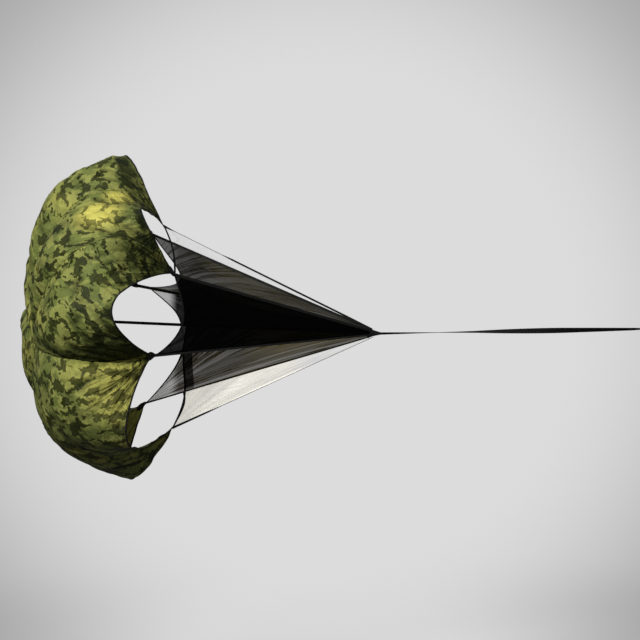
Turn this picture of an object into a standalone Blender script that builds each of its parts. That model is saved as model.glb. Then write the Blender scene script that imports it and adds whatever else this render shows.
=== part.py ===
# Speed parachute, drawn full of air and pulled along +X.
# Metres, +Z up. The origin is the seat of the snap hook's bow, where the runner's belt ring pulls.
# Eight gores, eight net panels and eight flat tapes are built round one axis, then the tow strap
# and its swivel snap hook. The canopy leans a little, so each tip and gore has its own shares.

import math

import bmesh
import bpy
import numpy as np
from mathutils import Matrix, Vector

CLEARANCE = 0.0004
PROBE = 0.0010
WELD = 0.00001
RUNNING_FIT = 0.0001

# Tow line, from the hook's bow back to the apex of the net
TOW_LENGTH = 0.920
STRAP_WIDTH = 0.015
STRAP_THICKNESS = 0.0014
STRAP_FOLD = 0.060
STRAP_FOLD_EASE = 0.020
TWIST_START = 0.160
TWIST_END = 0.770
STRAP_STEPS = 48
FOLD_STEPS = 6
BEND_STEPS = 9

# Net cone, measured from the apex
NET_REACH = 0.620
TIP_RADIUS = 0.260
CANOPY_LIFT = 0.045
TAPE_WIDTH = 0.010
TAPE_THICKNESS = 0.0012
TAPE_GATHERED_WIDTH = 0.0045
GATHER_START = 0.080
NET_THICKNESS = 0.0004
NET_BINDING_WIDTH = 0.006
NET_BINDING_THICKNESS = 0.0012

# Canopy
CROWN_REACH = 0.922
CROWN_DROP = 0.012
CANOPY_DEPTH = 0.230
HEM_RADIUS = 0.420
SHOULDER_OUT = 0.165
BULGE_BACK = 0.060
FABRIC_THICKNESS = 0.0004
HEM_WIDTH = 0.008
HEM_THICKNESS = 0.0012
PATCH_RADIUS = 0.022
PATCH_THICKNESS = 0.0008

# Webbing tab sewn over each tip
TAB_LENGTH = 0.024
TAB_WIDTH = 0.018
TAB_END_WIDTH = 0.008
TAB_THICKNESS = 0.0016
TAB_WIDEST_SHARE = 0.5

# Sleeve that gathers the tapes onto the strap
SLEEVE_LENGTH = 0.036
SLEEVE_RADIUS = 0.0150
SLEEVE_FRONT_WIDTH = 0.017
SLEEVE_FRONT_HEIGHT = 0.006
SLEEVE_SIDES = 24
SLEEVE_RINGS = 7

# Snap hook
HOOK_WIRE = 0.00275
HOOK_WIDTH = 0.0140
HOOK_CORNER = 0.0070
GATE_PIVOT = 0.0340
GATE_NOSE = 0.0085
GATE_RADIUS = 0.0025
GATE_SLOT = 0.0026
GATE_SLOT_LENGTH = 0.0110
GATE_HEEL = 0.0023
TANG_THICKNESS = 0.0020
TANG_RADIUS = 0.0021
TANG_ROOT = 0.0038
PIN_RADIUS = 0.0009
SPRING_WIDTH = 0.0018
SPRING_THICKNESS = 0.0003
SPRING_DROP = 0.0008
NECK_CENTRE = 0.0455
COLLAR_RADIUS = 0.0042
COLLAR_LENGTH = 0.0055
SHANK_RADIUS = 0.0024
HEAD_RADIUS = 0.0038
HEAD_LENGTH = 0.0018
WASHER_RADIUS = 0.0042
WASHER_THICKNESS = 0.0008
BOSS_RADIUS = 0.0050
BOSS_LENGTH = 0.0060
EYE_WIRE = 0.00175
EYE_BAR = 0.0710
EYE_SLACK = 0.0016
EYE_CORNER = 0.0035

# Around the ring from the top one: angle from straight up towards -Y in degrees,
# then shares of TIP_RADIUS and NET_REACH, of BULGE_BACK for the seam behind the crown, and of
# SHOULDER_OUT for how far the seam swells before its tape pulls it in.
TIP_SHARES = [
    (22, 1.000, 0.965, 0.55, 1.50),
    (64, 0.990, 0.955, 0.45, 1.75),
    (109, 1.030, 1.047, 0.08, 1.00),
    (160, 1.135, 0.944, 0.17, 1.00),
    (214, 1.040, 1.005, 0.40, 1.00),
    (269.5, 0.920, 1.129, 1.60, 1.00),
    (298, 0.780, 1.026, 0.50, 1.00),
    (338, 0.955, 0.974, 0.25, 1.00),
]
# Gore from each tip to the next: angle of its middle in degrees, then shares of HEM_RADIUS,
# CANOPY_DEPTH and BULGE_BACK, then two shares of the middle's own span that place its curve.
GORE_SHARES = [
    (46, 0.905, 1.074, 0.92, 0.72, 0.93),
    (85, 0.932, 0.694, 0.58, 0.66, 0.92),
    (134, 1.012, 0.870, 0.33, 0.62, 0.88),
    (187, 1.000, 1.052, 0.47, 0.56, 0.83),
    (238, 0.952, 0.835, 1.15, 0.62, 0.90),
    (281, 0.905, 0.704, 1.25, 0.70, 0.92),
    (318, 0.905, 0.900, 1.08, 0.72, 0.93),
    (365, 1.020, 1.015, 0.87, 0.73, 0.91),
]
# Fullness of each hem: power of its outward arch, power of its forward arch, lean of the latter.
HEM_SHARES = [
    (0.81, 0.81, 0.96),
    (0.55, 0.67, 1.00),
    (0.76, 0.68, 0.95),
    (0.75, 0.80, 1.10),
    (0.80, 0.80, 1.00),
    (0.80, 0.80, 1.00),
    (0.80, 0.80, 1.00),
    (0.66, 0.60, 0.78),
]
GORE_FULLNESS_SHARE = 0.80
SEAM_ROOT_SHARE = 0.70
SEAM_SHOULDER_SHARE = 0.50
MIDDLE_SHOULDER_SHARE = 0.13
# Net edge from each tip to the next: depth of its cut as a share of its distance from the apex,
# lean of the cut, whether the cut is deepest towards the second tip, and the shares of the
# first and the second tape at which the edge leaves them.
NET_SHARES = [
    (0.012, 1.00, False, 1.00, 1.00),
    (0.080, 0.76, True, 1.00, 1.00),
    (0.034, 1.50, False, 0.88, 1.00),
    (0.026, 0.87, True, 1.00, 0.84),
    (0.077, 0.82, False, 1.00, 0.72),
    (0.040, 0.95, False, 0.74, 0.95),
    (0.160, 0.60, False, 1.00, 1.00),
    (0.045, 0.70, False, 0.93, 1.00),
]

GORE_COUNT = len(TIP_SHARES)
GORE_ROWS = 11
HEM_COLUMNS = 13
NET_COLUMNS = 10
PATCH_COLUMNS = 5
SEARCH_STEPS = 40

APEX = np.array([-TOW_LENGTH, 0.0, 0.0])
CROWN = APEX + np.array([-CROWN_REACH, 0.0, -CROWN_DROP])
FORWARD = np.array([1.0, 0.0, 0.0])


# Scene

def clear_scene():
    for item in list(bpy.data.objects):
        bpy.data.objects.remove(item, do_unlink=True)


def make_collection(name):
    group = bpy.data.collections.new(name)
    bpy.context.scene.collection.children.link(group)
    return group


def make_material(name, colour, roughness, metallic=0.0):
    material = bpy.data.materials.get(name)
    if material is None:
        material = bpy.data.materials.new(name)
        material.use_nodes = True
        shader = material.node_tree.nodes["Principled BSDF"]
        shader.inputs["Base Color"].default_value = (*colour, 1.0)
        shader.inputs["Roughness"].default_value = roughness
        shader.inputs["Metallic"].default_value = metallic
    return material


def olive_nylon():
    return make_material("olive_nylon", (0.20, 0.25, 0.07), 0.45)


def black_tape():
    return make_material("black_tape", (0.012, 0.012, 0.012), 0.65)


def black_net():
    return make_material("black_net", (0.025, 0.024, 0.023), 0.75)


def black_webbing():
    return make_material("black_webbing", (0.010, 0.010, 0.010), 0.60)


def nickel_plate():
    return make_material("nickel_plate", (0.56, 0.55, 0.53), 0.28, 1.0)


def spring_steel():
    return make_material("spring_steel", (0.42, 0.42, 0.43), 0.35, 1.0)


# Solids

def add_object(name, mesh, material, group):
    item = bpy.data.objects.new(name, mesh)
    group.objects.link(item)
    item.data.materials.clear()
    item.data.materials.append(material)
    return item


def mesh_from_faces(name, points, faces):
    mesh = bpy.data.meshes.new(name)
    mesh.from_pydata([tuple(point) for point in points], [], faces)
    mesh.update()
    return mesh


def add_sheet(name, grid, thickness, material, group):
    """A cloth piece: the open surface through a grid of points, given its thickness by Solidify."""
    rows, columns = grid.shape[:2]
    faces = []
    for row in range(rows - 1):
        for column in range(columns - 1):
            first = row * columns + column
            faces.append((first, first + 1, first + columns + 1, first + columns))
    mesh = mesh_from_faces(name, grid.reshape(-1, 3), faces)
    mesh.shade_smooth()
    item = add_object(name, mesh, material, group)
    add_thickness(item, thickness)
    return item


def add_thickness(item, thickness):
    shell = item.modifiers.new("thickness", "SOLIDIFY")
    shell.thickness = thickness
    shell.offset = 0.0
    shell.use_even_offset = True


def add_loft(name, rings, material, group, smooth=True):
    """A closed solid through equal rings of points, with a flat face at each end."""
    count = len(rings[0])
    faces = [tuple(reversed(range(count)))]
    for ring in range(len(rings) - 1):
        base = ring * count
        for side in range(count):
            following = (side + 1) % count
            faces.append((base + side, base + following,
                          base + count + following, base + count + side))
    last = (len(rings) - 1) * count
    faces.append(tuple(range(last, last + count)))
    mesh = mesh_from_faces(name, np.concatenate(rings), faces)
    face_outwards(mesh)
    if smooth:
        mesh.shade_smooth()
        mesh.set_sharp_from_angle(angle=math.radians(35))
    return add_object(name, mesh, material, group)


def face_outwards(mesh):
    shape = bmesh.new()
    shape.from_mesh(mesh)
    bmesh.ops.recalc_face_normals(shape, faces=shape.faces)
    shape.to_mesh(mesh)
    shape.free()


def add_cylinder(name, start, end, radius, material, group, sides=24):
    start, end = Vector(start), Vector(end)
    shape = bmesh.new()
    bmesh.ops.create_cone(shape, cap_ends=True, segments=sides,
                          radius1=radius, radius2=radius, depth=(end - start).length)
    turn = (end - start).to_track_quat("Z", "Y").to_matrix().to_4x4()
    shape.transform(Matrix.Translation((start + end) / 2) @ turn)
    mesh = bpy.data.meshes.new(name)
    shape.to_mesh(mesh)
    shape.free()
    mesh.shade_smooth()
    mesh.set_sharp_from_angle(angle=math.radians(35))
    return add_object(name, mesh, material, group)


def add_box(name, low, high, material, group):
    low, high = Vector(low), Vector(high)
    shape = bmesh.new()
    bmesh.ops.create_cube(shape, size=1.0)
    shape.transform(Matrix.Translation((low + high) / 2) @ Matrix.Diagonal((*(high - low), 1.0)))
    mesh = bpy.data.meshes.new(name)
    shape.to_mesh(mesh)
    shape.free()
    return add_object(name, mesh, material, group)


def add_wire(name, points, radius, material, group, closed=False):
    """A round wire through a list of points, turned into a mesh so that it can be joined and cut."""
    curve = bpy.data.curves.new(name, "CURVE")
    curve.dimensions = "3D"
    curve.bevel_depth = radius
    curve.bevel_resolution = 3
    curve.use_fill_caps = True
    spline = curve.splines.new("POLY")
    spline.points.add(len(points) - 1)
    for slot, point in zip(spline.points, points):
        slot.co = (*point, 1.0)
    spline.use_cyclic_u = closed
    source = bpy.data.objects.new(name + "_curve", curve)
    group.objects.link(source)
    bpy.context.view_layer.update()
    ready = source.evaluated_get(bpy.context.evaluated_depsgraph_get())
    mesh = bpy.data.meshes.new_from_object(ready)
    bpy.data.objects.remove(source, do_unlink=True)
    shape = bmesh.new()
    shape.from_mesh(mesh)
    bmesh.ops.remove_doubles(shape, verts=shape.verts, dist=WELD)
    bmesh.ops.recalc_face_normals(shape, faces=shape.faces)
    shape.to_mesh(mesh)
    shape.free()
    mesh.shade_smooth()
    mesh.set_sharp_from_angle(angle=math.radians(35))
    return add_object(name, mesh, material, group)


def place_origin(item, point):
    """Puts an object's origin on its joint's axis and leaves its shape where it is."""
    item.data.transform(Matrix.Translation(-Vector(point)))
    item.location = point


def combine(item, tool, operation, cutters):
    """Boolean with a tool that moves to the cutters' collection and stays hidden."""
    for group in list(tool.users_collection):
        group.objects.unlink(tool)
    cutters.objects.link(tool)
    tool.hide_render = True
    tool.display_type = "WIRE"
    step = item.modifiers.new(operation.lower(), "BOOLEAN")
    step.operation = operation
    step.solver = "EXACT"
    step.object = tool


# Canopy surface

def around_axis(angle, radius, x):
    """Point at an angle from straight up, turning towards -Y, about the canopy's raised axis."""
    turn = math.radians(angle)
    return np.array([x, -radius * math.sin(turn), CANOPY_LIFT + radius * math.cos(turn)])


def tip_point(index):
    angle, radius_share, reach_share = TIP_SHARES[index % GORE_COUNT][:3]
    return around_axis(angle, TIP_RADIUS * radius_share, APEX[0] - NET_REACH * reach_share)


def cubic(points, t):
    """Bezier curve through the first and last of four points."""
    t = np.asarray(t)[..., None]
    rest = 1 - t
    return (rest**3 * points[0] + 3 * rest**2 * t * points[1]
            + 3 * rest * t**2 * points[2] + t**3 * points[3])


def span_from_crown(point):
    """Distance and unit direction from the crown to a point, both square to the axis."""
    across = point - CROWN
    across[0] = 0.0
    distance = np.linalg.norm(across)
    return distance, across / distance


def seam(index, u):
    """Seam from the crown to a tip: out over the shoulder, then pulled in by its tape."""
    back_share, shoulder_share = TIP_SHARES[index % GORE_COUNT][3:]
    tip = tip_point(index)
    distance, outward = span_from_crown(tip)
    root = (CROWN + outward * SEAM_ROOT_SHARE * (distance + SHOULDER_OUT)
            - FORWARD * BULGE_BACK * back_share)
    reach = distance + SHOULDER_OUT * shoulder_share
    shoulder = CROWN + outward * reach + FORWARD * SEAM_SHOULDER_SHARE * (tip[0] - CROWN[0])
    return cubic((CROWN, root, shoulder, tip), u)


def gore_middle(index, u):
    """Middle line of a gore, from the crown to the top of its hem's arch."""
    shares = GORE_SHARES[index % GORE_COUNT]
    angle, radius_share, depth_share, back_share, root_share, shoulder_share = shares
    top = around_axis(angle, HEM_RADIUS * radius_share, CROWN[0] + CANOPY_DEPTH * depth_share)
    distance, outward = span_from_crown(top)
    root = CROWN + outward * root_share * distance - FORWARD * BULGE_BACK * back_share
    shoulder = (CROWN + outward * shoulder_share * distance
                + FORWARD * MIDDLE_SHOULDER_SHARE * (top[0] - CROWN[0]))
    return cubic((CROWN, root, shoulder, top), u)


def gore_surface(index, u, v):
    """Cloth at u from the crown to the hem and v from one seam to the next.

    The straight line between the two seams is lifted towards the middle line by a sine arch,
    whose power sets how full the cloth is, and changes from GORE_FULLNESS_SHARE at the crown
    to the hem's own powers at the hem.
    """
    u, v = np.broadcast_arrays(u, v)
    out_power, fore_power, lean = HEM_SHARES[index % GORE_COUNT]
    left, right = seam(index, u), seam(index + 1, u)
    lift = gore_middle(index, u) - (left + right) / 2
    v = np.clip(v, 0.0, 1.0)
    near_hem = u**2
    out_arch = np.sin(np.pi * v) ** (
        GORE_FULLNESS_SHARE + (out_power - GORE_FULLNESS_SHARE) * near_hem)
    leaning = v ** (1 + (lean - 1) * near_hem)
    fore_arch = np.sin(np.pi * leaning) ** (
        GORE_FULLNESS_SHARE + (fore_power - GORE_FULLNESS_SHARE) * near_hem)
    arch = np.stack([fore_arch, out_arch, out_arch], axis=-1)
    share = v[..., None]
    return (1 - share) * left + share * right + arch * lift


def slope(function, u, v, along_u):
    """Numerical slope of a surface along u or v."""
    step = 0.0005
    if along_u:
        return (function(u, v) - function(u - step, v)) / step
    return (function(u, v + step) - function(u, v - step)) / (2 * step)


def share_for_width(function, edge, v, width):
    """How much of u a strip of a given width takes, measured square to the edge of a surface."""
    down = slope(function, edge, v, True)
    along = slope(function, edge, v, False)
    area = np.linalg.norm(np.cross(down, along), axis=-1)
    return width * np.linalg.norm(along, axis=-1) / area


def last_clear(test, low, high):
    """Largest value at which a test still holds, found by halving."""
    for _ in range(SEARCH_STEPS):
        middle = (low + high) / 2
        holds = test(middle)
        low, high = np.where(holds, middle, low), np.where(holds, high, middle)
    return low


def from_tips(index, points):
    """Distance to the nearer of a gore's two tips."""
    first = np.linalg.norm(points - tip_point(index), axis=-1)
    second = np.linalg.norm(points - tip_point(index + 1), axis=-1)
    return np.minimum(first, second)


def tab_reach():
    """Distance from a tip beyond which its tab doesn't come."""
    return math.hypot(TAB_LENGTH, TAB_END_WIDTH / 2) + CLEARANCE


def even_turn(count):
    """Shares from 0 to 1, closer together at both ends, where a hem curves most."""
    even = np.linspace(0, 1, count)
    return (even + (1 - np.cos(np.pi * even)) / 2) / 2


def hem_turns(index):
    """Places along a hem, in v, from one tip's tab to the other's."""
    edge = np.array(1.0)

    def near_first(v):
        return from_tips(index, gore_surface(index, edge, v)) < tab_reach()

    start = last_clear(near_first, np.array(0.0), np.array(0.5))
    end = 1 - last_clear(lambda v: near_first(1 - v), np.array(0.0), np.array(0.5))
    return start + (end - start) * even_turn(HEM_COLUMNS)


def hem_share(index, v):
    return share_for_width(lambda u, w: gore_surface(index, u, w), np.array(1.0), v, HEM_WIDTH)


def cloth_end(index, v):
    """u at which the cloth stops, short of its hem binding."""
    inner = 1 - hem_share(index, v)
    return inner - share_for_width(lambda u, w: gore_surface(index, u, w), inner, v, CLEARANCE)


def seam_end(index):
    """u at which a seam reaches the tab of its tip."""
    def outside(u):
        return np.linalg.norm(seam(index, u) - tip_point(index)) > TAB_LENGTH + CLEARANCE
    return last_clear(outside, np.array(0.5), np.array(1.0))


def crown_share(index, v, radius):
    """u at which a gore is a given distance from the crown."""
    def inside(u):
        return np.linalg.norm(gore_surface(index, u, v) - CROWN, axis=-1) < radius
    return last_clear(inside, np.zeros_like(v), np.full_like(v, 0.5))


def unit(vectors):
    return vectors / np.linalg.norm(vectors, axis=-1, keepdims=True)


def leaving_seam(index, u, side, distance):
    """v at which the cloth on one side of a seam is a given distance from it."""
    middle = seam(index, u)

    def near(v):
        point = gore_surface(index, u, v) if side > 0 else gore_surface(index - 1, u, 1 - v)
        return np.linalg.norm(point - middle, axis=-1) < distance
    return last_clear(near, np.zeros_like(u), np.full_like(u, 0.5))


def seam_setback(index, u):
    """How far two cloths stand back from their seam, so that even a tight fold is clear."""
    middle = seam(index, u)
    after = gore_surface(index, u, leaving_seam(index, u, 1, PROBE))
    before = gore_surface(index - 1, u, 1 - leaving_seam(index, u, -1, PROBE))
    meeting = np.sum(unit(after - middle) * unit(before - middle), axis=-1)
    half_angle = np.arccos(np.clip(meeting, -1.0, 1.0)) / 2
    return (FABRIC_THICKNESS + CLEARANCE) / 2 / np.sin(half_angle)


def cloth_sides(index, u_first, u_second):
    """Both sides of a gore's cloth, in v, clear of the cloths beyond its two seams."""
    first = leaving_seam(index, u_first, 1, seam_setback(index, u_first))
    second = leaving_seam(index + 1, u_second, -1, seam_setback(index + 1, u_second))
    return first, 1 - second


def gore_grid(index):
    """Points of a gore's cloth, whose columns meet those of the hem binding."""
    ends = seam_end(index), seam_end(index + 1)
    low, high = cloth_sides(index, *ends)
    turns = hem_turns(index)
    columns = np.concatenate([[0.0], (turns - low) / (high - low), [1.0]])
    top = np.concatenate([[ends[0]], cloth_end(index, turns), [ends[1]]])
    start = crown_share(index, columns, PATCH_RADIUS + PATCH_THICKNESS / 2 + CLEARANCE)
    rows = np.linspace(0, 1, GORE_ROWS)[:, None]
    u = start + (top - start) * rows
    first, second = cloth_sides(index, u[:, 0], u[:, -1])
    v = first[:, None] + (second - first)[:, None] * columns
    return gore_surface(index, u, v)


def add_gores(group):
    for index in range(GORE_COUNT):
        grid = gore_grid(index)
        add_sheet(f"canopy_gore_{index + 1}", grid, FABRIC_THICKNESS, olive_nylon(), group)


def add_hem_bindings(group):
    for index in range(GORE_COUNT):
        turns = hem_turns(index)
        rows = np.stack([1 - hem_share(index, turns), np.ones_like(turns)])
        grid = gore_surface(index, rows, turns[None, :])
        add_sheet(f"hem_binding_{index + 1}", grid, HEM_THICKNESS, black_tape(), group)


def add_crown_patch(group):
    """A round of doubled cloth over the meeting of the seams, fluted as they are."""
    ring = []
    for index in range(GORE_COUNT):
        v = np.linspace(0, 1, PATCH_COLUMNS)[:-1]
        u = crown_share(index, v, PATCH_RADIUS)
        ring.append(gore_surface(index, u, v))
    outer = np.concatenate(ring)
    middle = CROWN + (outer - CROWN) / 2
    count = len(outer)
    points = np.concatenate([outer, middle, CROWN[None, :]])
    faces = []
    for side in range(count):
        following = (side + 1) % count
        faces.append((side, following, count + following, count + side))
        faces.append((count + side, count + following, 2 * count))
    mesh = mesh_from_faces("crown_patch", points, faces)
    mesh.shade_smooth()
    item = add_object("crown_patch", mesh, olive_nylon(), group)
    add_thickness(item, PATCH_THICKNESS)


# Tips, tapes and net

def frame_along(direction, beside):
    """Three unit vectors: along a piece, across its width and through its thickness."""
    along = unit(np.asarray(direction, float))
    through = unit(np.cross(along, beside))
    return along, np.cross(through, along), through


def beside_tip(index):
    """Direction round the ring at a tip."""
    turn = math.radians(TIP_SHARES[index][0])
    return np.array([0.0, -math.cos(turn), -math.sin(turn)])


def seam_direction(index):
    step = 0.01
    return unit(seam(index, np.array(1.0 - step)) - tip_point(index))


def slab_rings(start, length, widths, thickness, axes):
    along, across, through = axes
    rings = []
    for share, width in widths:
        centre = start + along * length * share
        corners = [(-width / 2, -thickness / 2), (width / 2, -thickness / 2),
                   (width / 2, thickness / 2), (-width / 2, thickness / 2)]
        rings.append(np.array([centre + across * a + through * b for a, b in corners]))
    return rings


def add_tip_tabs(group):
    """Webbing sewn over each tip, widest halfway and drawn in again on the cloth."""
    widths = ((0.0, TAPE_WIDTH), (TAB_WIDEST_SHARE, TAB_WIDTH), (1.0, TAB_END_WIDTH))
    for index in range(GORE_COUNT):
        axes = frame_along(seam_direction(index), beside_tip(index))
        rings = slab_rings(tip_point(index), TAB_LENGTH, widths, TAB_THICKNESS, axes)
        add_loft(f"tip_tab_{index + 1}", rings, black_webbing(), group, smooth=False)


def tape_axes(index):
    tip = tip_point(index)
    return frame_along(APEX - tip, beside_tip(index % GORE_COUNT))


def square_reach(axes, width, normal):
    """How far the end of a tape, cut square, comes past its own middle towards a direction."""
    return (width * abs(np.dot(axes[1], normal))
            + TAPE_THICKNESS * abs(np.dot(axes[2], normal))) / 2


def add_line_tapes(group):
    """Flat tapes from the tabs to the sleeve, which carry the pull along the edges of the net."""
    for index in range(GORE_COUNT):
        tip = tip_point(index)
        span = np.linalg.norm(APEX - tip)
        axes = tape_axes(index)
        outward = -seam_direction(index)
        start = ((CLEARANCE + square_reach(axes, TAPE_WIDTH, outward))
                 / np.dot(axes[0], outward))
        end = ((SLEEVE_LENGTH + CLEARANCE + square_reach(axes, TAPE_GATHERED_WIDTH, FORWARD))
               / np.dot(axes[0], FORWARD))
        length = span - start - end
        gather = (span - start - GATHER_START) / length
        widths = ((0.0, TAPE_WIDTH), (gather, TAPE_WIDTH), (1.0, TAPE_GATHERED_WIDTH))
        rings = slab_rings(tip + axes[0] * start, length, widths, TAPE_THICKNESS, axes)
        add_loft(f"line_tape_{index + 1}", rings, black_tape(), group, smooth=False)


def net_surface(index, w, s):
    """Net at w from the apex to its cut edge and s from one tape to the next.

    The edge runs between two places on the tapes, drawn towards the apex by a leaning sine.
    """
    w, s = np.broadcast_arrays(w, s)
    depth, lean, towards_second, start, end = NET_SHARES[index]
    s = np.clip(s, 0.0, 1.0)
    leaning = 1 - (1 - s) ** lean if towards_second else s ** lean
    line = tip_point(index) + s[..., None] * (tip_point(index + 1) - tip_point(index))
    drawn = (1 - depth * np.sin(np.pi * leaning)) * (start + (end - start) * s)
    return APEX + (w * drawn)[..., None] * (line - APEX)


def from_tapes(index, points):
    """Distance to the nearer of the two tapes beside a net panel."""
    distances = []
    for tape in (index, index + 1):
        _, across, through = tape_axes(tape)
        offset = points - APEX
        beside = np.abs(offset @ across) - TAPE_WIDTH / 2
        above = np.abs(offset @ through) - TAPE_THICKNESS / 2
        distances.append(np.hypot(np.maximum(beside, 0), np.maximum(above, 0)))
    return np.minimum(*distances)


def net_strip(index, s, width):
    """w at a given distance inside the cut edge of the net."""
    edge = np.array(1.0)
    return edge - share_for_width(lambda w, t: net_surface(index, w, t), edge, s, width)


def clear_of_tapes(index, w_at):
    """Both ends, in s, of a row of the net that keeps clear of the two tapes."""
    room = CLEARANCE + NET_BINDING_THICKNESS / 2

    def blocked(s):
        return from_tapes(index, net_surface(index, w_at(s), s)) < room

    first = last_clear(blocked, np.array(0.001), np.array(0.5))
    second = 1 - last_clear(lambda s: blocked(1 - s), np.array(0.001), np.array(0.5))
    return first, second


def net_turns(index):
    """Places along the cut edge, in s, where both its binding and the net clear the tapes."""
    outer = clear_of_tapes(index, lambda s: np.array(1.0))
    strip = NET_BINDING_WIDTH + CLEARANCE
    inner = clear_of_tapes(index, lambda s: net_strip(index, s, strip))
    start, end = max(outer[0], inner[0]), min(outer[1], inner[1])
    return start + (end - start) * even_turn(NET_COLUMNS)


def add_net_bindings(group):
    for index in range(GORE_COUNT):
        turns = net_turns(index)
        inner = net_strip(index, turns, NET_BINDING_WIDTH)
        grid = net_surface(index, np.stack([inner, np.ones_like(turns)]), turns[None, :])
        add_sheet(f"net_binding_{index + 1}", grid, NET_BINDING_THICKNESS, black_tape(), group)


def add_net_panels(group):
    """Net from the gather to its binding, narrower than the space between two tapes."""
    for index in range(GORE_COUNT):
        turns = net_turns(index)
        top = net_surface(index, net_strip(index, turns, NET_BINDING_WIDTH + CLEARANCE), turns)
        middle = np.linalg.norm((tip_point(index) + tip_point(index + 1)) / 2 - APEX)
        foot_w = np.array(GATHER_START / middle)
        first, second = clear_of_tapes(index, lambda s: foot_w)
        along = (turns - turns[0]) / (turns[-1] - turns[0])
        foot = net_surface(index, foot_w, first + (second - first) * along)
        add_sheet(f"net_panel_{index + 1}", np.stack([foot, top]), NET_THICKNESS,
                  black_net(), group)


# Sleeve and strap

def sleeve_ring(share):
    """A round section at the tapes that turns into a flat one at the strap."""
    turn = np.linspace(0, 2 * np.pi, SLEEVE_SIDES, endpoint=False)
    power = 2 / (2 + 4 * share)
    ease = share**0.6
    half_width = SLEEVE_RADIUS + (SLEEVE_FRONT_WIDTH / 2 - SLEEVE_RADIUS) * ease
    half_height = SLEEVE_RADIUS + (SLEEVE_FRONT_HEIGHT / 2 - SLEEVE_RADIUS) * ease
    y = half_width * np.sign(np.cos(turn)) * np.abs(np.cos(turn)) ** power
    z = half_height * np.sign(np.sin(turn)) * np.abs(np.sin(turn)) ** power
    lean = CANOPY_LIFT / NET_REACH * SLEEVE_LENGTH * (1 - share)
    x = np.full_like(y, APEX[0] - SLEEVE_LENGTH * (1 - share))
    return np.stack([x, y, z + lean], axis=-1)


def add_gather_sleeve(group):
    rings = [sleeve_ring(share) for share in np.linspace(0, 1, SLEEVE_RINGS)]
    add_loft("gather_sleeve", rings, black_webbing(), group)


def ease(share):
    share = np.clip(share, 0.0, 1.0)
    return share * share * (3 - 2 * share)


def strap_twist(x):
    """The strap makes half a turn between the apex and the hook."""
    return np.pi * ease((x - APEX[0] - TWIST_START) / (TWIST_END - TWIST_START))


def strap_path():
    """Centre line of the strap: straight, round the eye's bar, and back along itself."""
    bend = EYE_WIRE + CLEARANCE + STRAP_THICKNESS / 2
    layer = STRAP_THICKNESS + CLEARANCE
    fold_x = -EYE_BAR - STRAP_FOLD_EASE
    straight = [np.array([x, 0.0, 0.0])
                for x in np.linspace(APEX[0] + CLEARANCE, fold_x, STRAP_STEPS)]
    shares = np.linspace(0, 1, FOLD_STEPS)[1:]
    under = [np.array([fold_x + STRAP_FOLD_EASE * share, 0.0, -bend * ease(share)])
             for share in shares]
    turns = np.linspace(-np.pi / 2, np.pi / 2, BEND_STEPS)[1:]
    over_bar = [np.array([-EYE_BAR + bend * math.cos(turn), 0.0, bend * math.sin(turn)])
                for turn in turns]
    above = [np.array([-EYE_BAR - STRAP_FOLD_EASE * share, 0.0,
                       bend + (layer - bend) * ease(share)]) for share in shares]
    tail = [np.array([-EYE_BAR - STRAP_FOLD, 0.0, layer])]
    return np.array(straight + under + over_bar + above + tail)


def add_tow_strap(group):
    path = strap_path()
    heading = unit(np.gradient(path, axis=0))
    rings = []
    for point, along in zip(path, heading):
        twist = strap_twist(point[0]) if along[0] > 0.99 and point[2] <= 0 else np.pi
        across = np.array([0.0, math.cos(twist), math.sin(twist)])
        across = unit(across - np.dot(across, along) * along)
        through = np.cross(along, across)
        corners = [(-1, -1), (1, -1), (1, 1), (-1, 1)]
        rings.append(np.array([point + across * a * STRAP_WIDTH / 2
                               + through * b * STRAP_THICKNESS / 2 for a, b in corners]))
    add_loft("tow_strap", rings, black_webbing(), group)


# Swivel snap hook

def arc_points(centre, radius, start, end, count):
    """Points on an arc in the XZ plane, angles in degrees from +X towards +Z."""
    turns = np.radians(np.linspace(start, end, count))
    return [(centre[0] + radius * math.cos(turn), 0.0, centre[1] + radius * math.sin(turn))
            for turn in turns]


def hook_outline():
    """Wire line of the hook: from the tang, round the neck and spine, over the bow to the nose."""
    side = (HOOK_WIDTH + 2 * HOOK_WIRE) / 2
    bow = (HOOK_WIRE - side, 0.0)
    corner = HOOK_CORNER
    points = [(-GATE_PIVOT - TANG_ROOT, 0.0, side)]
    rear = -NECK_CENTRE + corner
    points += arc_points((rear, side - corner), corner, 90, 180, 7)
    points += arc_points((rear, corner - side), corner, 180, 270, 7)
    points += arc_points(bow, side, -90, 90, 13)
    points.append((-GATE_NOSE + CLEARANCE, 0.0, side))
    return points, side


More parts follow.
